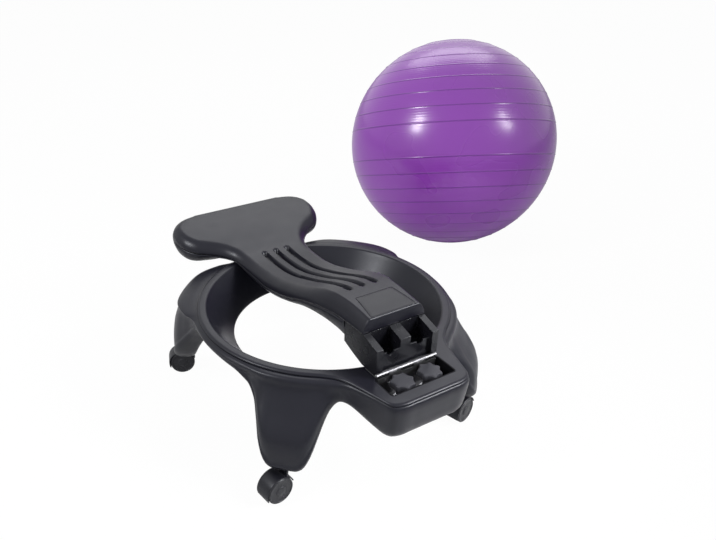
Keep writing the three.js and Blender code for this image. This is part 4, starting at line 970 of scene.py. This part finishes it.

# %% [markdown]
# The vinyl is a deep violet with a satin gloss. A pattern of the same latitudes darkens the foot of each
# ring: this is painted shade, standing in for the shadow in the crease beside each ridge. The pattern reads
# the ball's own place through a Mapping node that centres it and stands its axis upright.

# %% Vinyl
vinyl = bpy.data.materials.new("violet_vinyl")
vinyl.use_nodes = True
tree = vinyl.node_tree
shader = tree.nodes["Principled BSDF"]
shader.inputs["IOR"].default_value = 1.48
shader.inputs["Coat Weight"].default_value = 0.3
shader.inputs["Coat Roughness"].default_value = 0.16
where = node(tree, "ShaderNodeTexCoord")
centred = node(tree, "ShaderNodeMapping", vector_type="TEXTURE")
centred.inputs["Location"].default_value = ball_centre
centred.inputs["Rotation"].default_value = tilt.to_euler()
link(tree, where.outputs["Object"], centred.inputs["Vector"])
unit = node(tree, "ShaderNodeVectorMath", operation="NORMALIZE")
link(tree, centred.outputs["Vector"], unit.inputs[0])
axes = node(tree, "ShaderNodeSeparateXYZ")
link(tree, unit.outputs[0], axes.inputs[0])


def sum_of(operation, first, second=None):
    """A Math node between sockets or plain numbers."""
    made = node(tree, "ShaderNodeMath", operation=operation)
    for socket, value in zip(made.inputs, (first, second)):
        if isinstance(value, (int, float)):
            socket.default_value = value
        elif value is not None:
            link(tree, value, socket)
    return made.outputs[0]


latitude = sum_of("MULTIPLY", sum_of("ARCSINE", axes.outputs["Z"]), 180 / math.pi)
up = sum_of("ABSOLUTE", latitude)
step = sum_of("DIVIDE", sum_of("SUBTRACT", up, first_ring), ring_pitch)
off_ring = sum_of("ABSOLUTE", sum_of("SUBTRACT", step, sum_of("ROUND", step)))
# painted shade: the foot of each ring is darkened in the colour, for the shade in its crease
line = node(tree, "ShaderNodeMapRange", interpolation_type="SMOOTHSTEP")
line.inputs["From Min"].default_value = 0.015
line.inputs["From Max"].default_value = 0.05
line.inputs["To Min"].default_value = 1.0
line.inputs["To Max"].default_value = 0.0
link(tree, off_ring, line.inputs["Value"])
banded = sum_of("MULTIPLY", sum_of("GREATER_THAN", up, first_ring - 1.5), sum_of("LESS_THAN", up, last_ring))
ring_shade = sum_of("MULTIPLY", line.outputs["Result"], banded)
clouds = node(tree, "ShaderNodeTexNoise", Scale=5.0, Detail=2.0)
link(tree, where.outputs["Object"], clouds.inputs["Vector"])
body_tint = node(tree, "ShaderNodeValToRGB")
body_tint.color_ramp.elements[0].color = (0.21, 0.036, 0.35, 1)
body_tint.color_ramp.elements[1].color = (0.245, 0.043, 0.39, 1)
link(tree, clouds.outputs["Fac"], body_tint.inputs["Fac"])
# mixes the body colour with the painted ring shade
tint = node(tree, "ShaderNodeMix", data_type="RGBA")
link(tree, ring_shade, tint.inputs["Factor"])
link(tree, body_tint.outputs["Color"], tint.inputs["A"])
tint.inputs["B"].default_value = (0.12, 0.015, 0.22, 1)
link(tree, tint.outputs["Result"], shader.inputs["Base Color"])
gloss = node(tree, "ShaderNodeMapRange")
gloss.inputs["To Min"].default_value = 0.24
gloss.inputs["To Max"].default_value = 0.32
link(tree, clouds.outputs["Fac"], gloss.inputs["Value"])
link(tree, gloss.outputs["Result"], shader.inputs["Roughness"])
skin = node(tree, "ShaderNodeTexNoise", Scale=900.0, Detail=2.0)
link(tree, where.outputs["Object"], skin.inputs["Vector"])
bump = node(tree, "ShaderNodeBump", Strength=0.25, Distance=0.00008)
link(tree, skin.outputs["Fac"], bump.inputs["Height"])
link(tree, bump.outputs["Normal"], shader.inputs["Normal"])
finished("exercise_ball", ball_bm, vinyl, "ball_shell", edge=80)
softened("ball_plug", pale_plug, 0.3)
print("vinyl rings from", first_ring, "degrees, every", ring_pitch)
